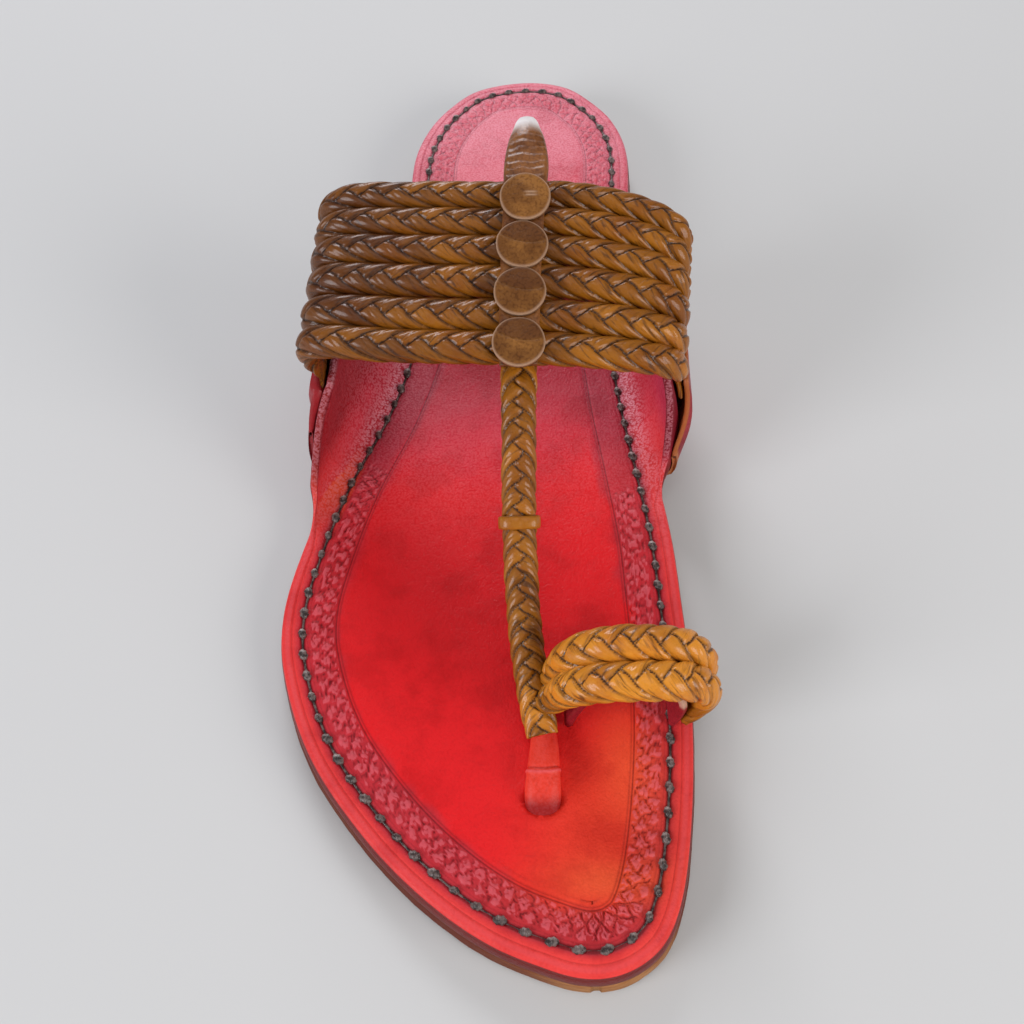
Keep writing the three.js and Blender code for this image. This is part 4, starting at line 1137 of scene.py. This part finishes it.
band_out = np.array([0, -math.sin(BAND_SLOPE), math.cos(BAND_SLOPE)])
SPOKES = 96
HOOPS = [0.3, 0.6, 0.9, 1.2, 1.6, 2, 2.4, 2.8, 3.2, 3.6, 3.9, 4.2, 4.5, 4.75, 4.9, 5.15, 5.32, 5.4]
around_at = np.linspace(0, 2 * math.pi, SPOKES, endpoint=False)
for k, (x, along) in enumerate(DISC_PLACES):
    middle_at = BAND_FRONT[4] + along * (BAND_BACK[4] - BAND_FRONT[4]) + band_out * DISC_LIFT
    middle_at[0] = x
    chance = random.Random(70 + k)
    wobble = 1 + 0.012 * np.sin(2 * around_at + chance.uniform(0, 6)) + 0.008 * np.sin(5 * around_at + k)
    points, upper, rim = [], [], []
    for r in HOOPS:
        x_at, y_at = r * np.cos(around_at) * wobble, r * np.sin(around_at) * wobble
        lean = y_at - 0.25 - 0.06 * (x_at - 0.8) ** 2 + 0.12 * x_at
        high = DISC_EDGE + DISC_DOME * (1 - (r / DISC_RADIUS) ** 2) - 0.35 * max(0, (r - 4.7) / 0.7) ** 2
        high = high + 0.1 * np.exp(-((r - 4.55) / 0.3) ** 2)
        if k:
            high = high + dent(lean, 0.32, 0.26) + 0.12 * np.exp(-((lean + 0.9) / 0.6) ** 2)
        else:
            high = high + dent(np.hypot((x_at - 1.6) / 1.5, (y_at - 0.3) / 0.35), 1, 0.12)
        points.append(np.stack([x_at, y_at, high * np.ones(SPOKES)], -1))
        upper.append(smoothstep(lean, -0.3, 0.3) * (1 if k else 0))
        nick = np.exp(-((x_at - 1.2) / 1.3) ** 4 - ((np.abs(y_at - 0.2) - 0.35) / 0.22) ** 2)
        nick = 0 * x_at if k else nick
        rim.append(np.clip(0.9 * smoothstep(r, 5.0, 5.3) + 0.9 * nick, 0, 1))
    foot_ring = (np.cos(around_at), np.sin(around_at), 0 * around_at)
    points.append(np.stack([DISC_RADIUS * f for f in foot_ring], -1))
    upper.append(0 * around_at)
    rim.append(0.3 + 0 * around_at)
    count = len(points)
    flat = np.concatenate(points + [[(0, 0, DISC_EDGE + DISC_DOME)], [(0, 0, 0)]])
    crown, foot, last = count * SPOKES, count * SPOKES + 1, (count - 1) * SPOKES
    faces = [f[::-1] for f in ring_faces(count, SPOKES)]
    faces += [(crown, j, (j + 1) % SPOKES) for j in range(SPOKES)]
    faces += [(foot, last + (j + 1) % SPOKES, last + j) for j in range(SPOKES)]
    tilt = np.array([(1, 0, 0), (0, math.cos(BAND_SLOPE), math.sin(BAND_SLOPE)), band_out])
    disc = mesh_piece(f"disc_round_{k + 1}", flat @ tilt + middle_at, faces, disc_leather)
    keep_values(disc, "upper_half", np.concatenate(upper + [[0.0, 0.0]]))
    keep_values(disc, "rim", np.concatenate(rim + [[0.0, 0.0]]))
    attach(disc, "root")
    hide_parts(f"disc_{k + 1}")

# ------------------------------------------------------------
# Keeper: a narrow band of ochre leather wrapped once round the long braid, its end glued down
# on top. It does not slide: it hides a joint in the plait.
KEEPER_WIDE, KEEPER_THICK, KEEPER_WALL, KEEPER_HALF = 4.0, 3.2, 0.8, 1.4
line, place, even = curve_through(centres, 0.2)
here = int(np.argmin(np.abs(place - 0.5)))
run = unit(line[here + 1] - line[here - 1])
keeper_up = np.cross((1, 0, 0), run)
keeper_up *= np.sign(keeper_up[2])
KEEPER_RINGS = 64
PROFILE = [  # place along the braid, share of the wall's thickness
    (-1, 0), (-0.5, 0), (0.5, 0), (1, 0), (1, 0.5), (0.9, 0.85), (0.6, 1), (0, 1.04), (-0.6, 1),
    (-0.9, 0.85), (-1, 0.5),
]
points = []
for turn in np.linspace(0, 2 * math.pi, KEEPER_RINGS, endpoint=False):
    c, d = math.cos(turn), math.sin(turn)
    lap = 0.3 * smoothstep(math.cos(turn - 1.1), 0.9, 0.95)
    square = 1 + ((abs(c) ** 4 + abs(d) ** 4) ** -0.25 - 1) * 0.5
    for shift, wall in PROFILE:
        wide = (KEEPER_WIDE - 0.35 + (KEEPER_WALL + lap) * wall) * c * square
        high = (KEEPER_THICK - 0.3 + (KEEPER_WALL + lap) * wall) * d * square
        points.append(line[here] + run * KEEPER_HALF * shift + np.array([wide, 0, 0]) + keeper_up * high)
faces = ring_faces(KEEPER_RINGS, len(PROFILE), loop=True)
keeper = mesh_piece("keeper_band", points, faces, braided_leather)
for name, value in (("lit_share", 1.0), ("tone", 0.8), ("fade_and_painted_light", 0.6)):
    keep_values(keeper, name, np.full(len(points), value))
keep_uv(keeper, "lie", np.full((len(points), 2), 0.3))
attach(keeper, "root")
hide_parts("keeper_loop")

# ------------------------------------------------------------
# Toe sleeve: soft red leather wrapped round the braid's flat end. A tight fold crosses it, and
# below the fold it gathers to a rounded tip that goes down through the punched hole.
SLEEVE = [  # x, y, height above the sole, half width, half thickness
    (10, -84.2, 2.2, 2.5, 1.35), (10, -86, 2.3, 2.75, 1.5), (9.9, -89, 2.4, 3.05, 1.9),
    (9.6, -93, 2.6, 3.4, 2.15), (9.4, -96, 1.9, 3.65, 2.15), (9.3, -98.6, 0.5, 3.6, 2.05),
    (9.3, -100.2, -0.9, 2.9, 1.5), (9.3, -101, -1.8, 1.6, 0.9),
]
SLEEVE_FOLD_Y = -92.3
SLEEVE_CORNERS = 40
rows = [(r[0], r[1], float(insole_top_z(r[1])) + r[2]) for r in SLEEVE]
line, place, even = curve_through(rows, 0.2)
up_way = np.cross((1, 0, 0), unit(np.gradient(line, axis=0)))
up_way *= np.sign(up_way[:, 2:3])
steps_at = np.linspace(0, 1, len(SLEEVE))
wide, thick = (through(steps_at, [r[k] for r in SLEEVE], place) for k in (3, 4))
turns = np.linspace(0, 2 * math.pi, SLEEVE_CORNERS, endpoint=False)
fold_at = float(np.interp(SLEEVE_FOLD_Y, line[::-1, 1], even[::-1]))
ca, sa = np.cos(turns)[None, :], np.sin(turns)[None, :]
away = even[:, None] - fold_at - 0.6 * (1 - ca**2) * (sa > 0)
fold = dent(away, 0.28, 0.3) + 0.22 * np.exp(-((away - 0.55) / 0.45) ** 2)
below = smoothstep(away, 0.6, 1.4)
gather = dent(np.abs(ca * wide[:, None]) - 2.6 + 0.55 * away, 0.34, 0.14) * below * (sa > 0)
swell = 1 + (fold + gather) / 3
aside = wide[:, None] * np.sign(ca) * np.abs(ca) ** 0.85 * swell
sleeve_points = line[:, None] + np.array([1, 0, 0]) * aside[..., None]
sleeve_points = (sleeve_points + up_way[:, None] * (thick[:, None] * sa * swell)[..., None]).reshape(-1, 3)
faces = tube_faces(len(even), SLEEVE_CORNERS)
sleeve = mesh_piece("toe_sleeve_leather", sleeve_points, faces, red_leather)
sleeve_dye = np.broadcast_to(np.array((0.8, 0.045, 0.024)), sleeve_points.shape).copy()
shaded = 0.75 * smoothstep(even, fold_at + 4.5, fold_at + 7.5)
keep_values(sleeve, "dye_and_painted_light", paint(sleeve_dye, "dark", np.repeat(shaded, SLEEVE_CORNERS)))
# The fold and the gathers are painted darker in their dents and lighter on their swells: painted shade and
# painted highlight.
keep_values(sleeve, "crease", -(fold + gather).ravel() * 0.8)
keep_values(sleeve, "painted_sheen", np.full(len(sleeve_points), 0.04))
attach(sleeve, "root")
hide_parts("toe_sleeve")

# ------------------------------------------------------------
# Toe loop lining: a strip of purple-red leather under the two loop cords. Its feet go down to
# the sole, and the edge of the strip shows pale where it was cut.
LINING_THICK, LINING_MIDDLE = 1.6, -79.3
LINING = [  # x, z, half width
    (15.2, 9.2, 3.6), (16.5, 15, 3.9), (18.4, 21, 4.4), (20.4, 24.2, 4.8), (23.4, 26.4, 5.2),
    (28, 27.2, 5.4), (33, 26.4, 5.2), (36.6, 23.6, 4.9), (38.1, 19, 4.7), (37.8, 13.6, 4.4),
    (36.8, 9.2, 4.2),
]
rows = [((x, LINING_MIDDLE, z), wide) for x, z, wide in LINING]
lining = strap("toe_loop_lining_leather", rows, (0, 1, 0), LINING_THICK, dark_leather)[0]
at_points = np.array([v.co for v in lining.data.vertices]) / MM
keep_values(lining, "raw_edge", 0.85 * smoothstep(at_points[:, 2], 18, 20) * (at_points[:, 0] > 32))
keep_values(lining, "edge_colour", np.tile((0.62, 0.4, 0.28), (len(at_points), 1)))
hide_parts("toe_loop_lining")

visual_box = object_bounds()
boxes = {"cad": cad_box, "visual": visual_box}
{name: [list(map(float, c)) for c in box] for name, box in boxes.items()}
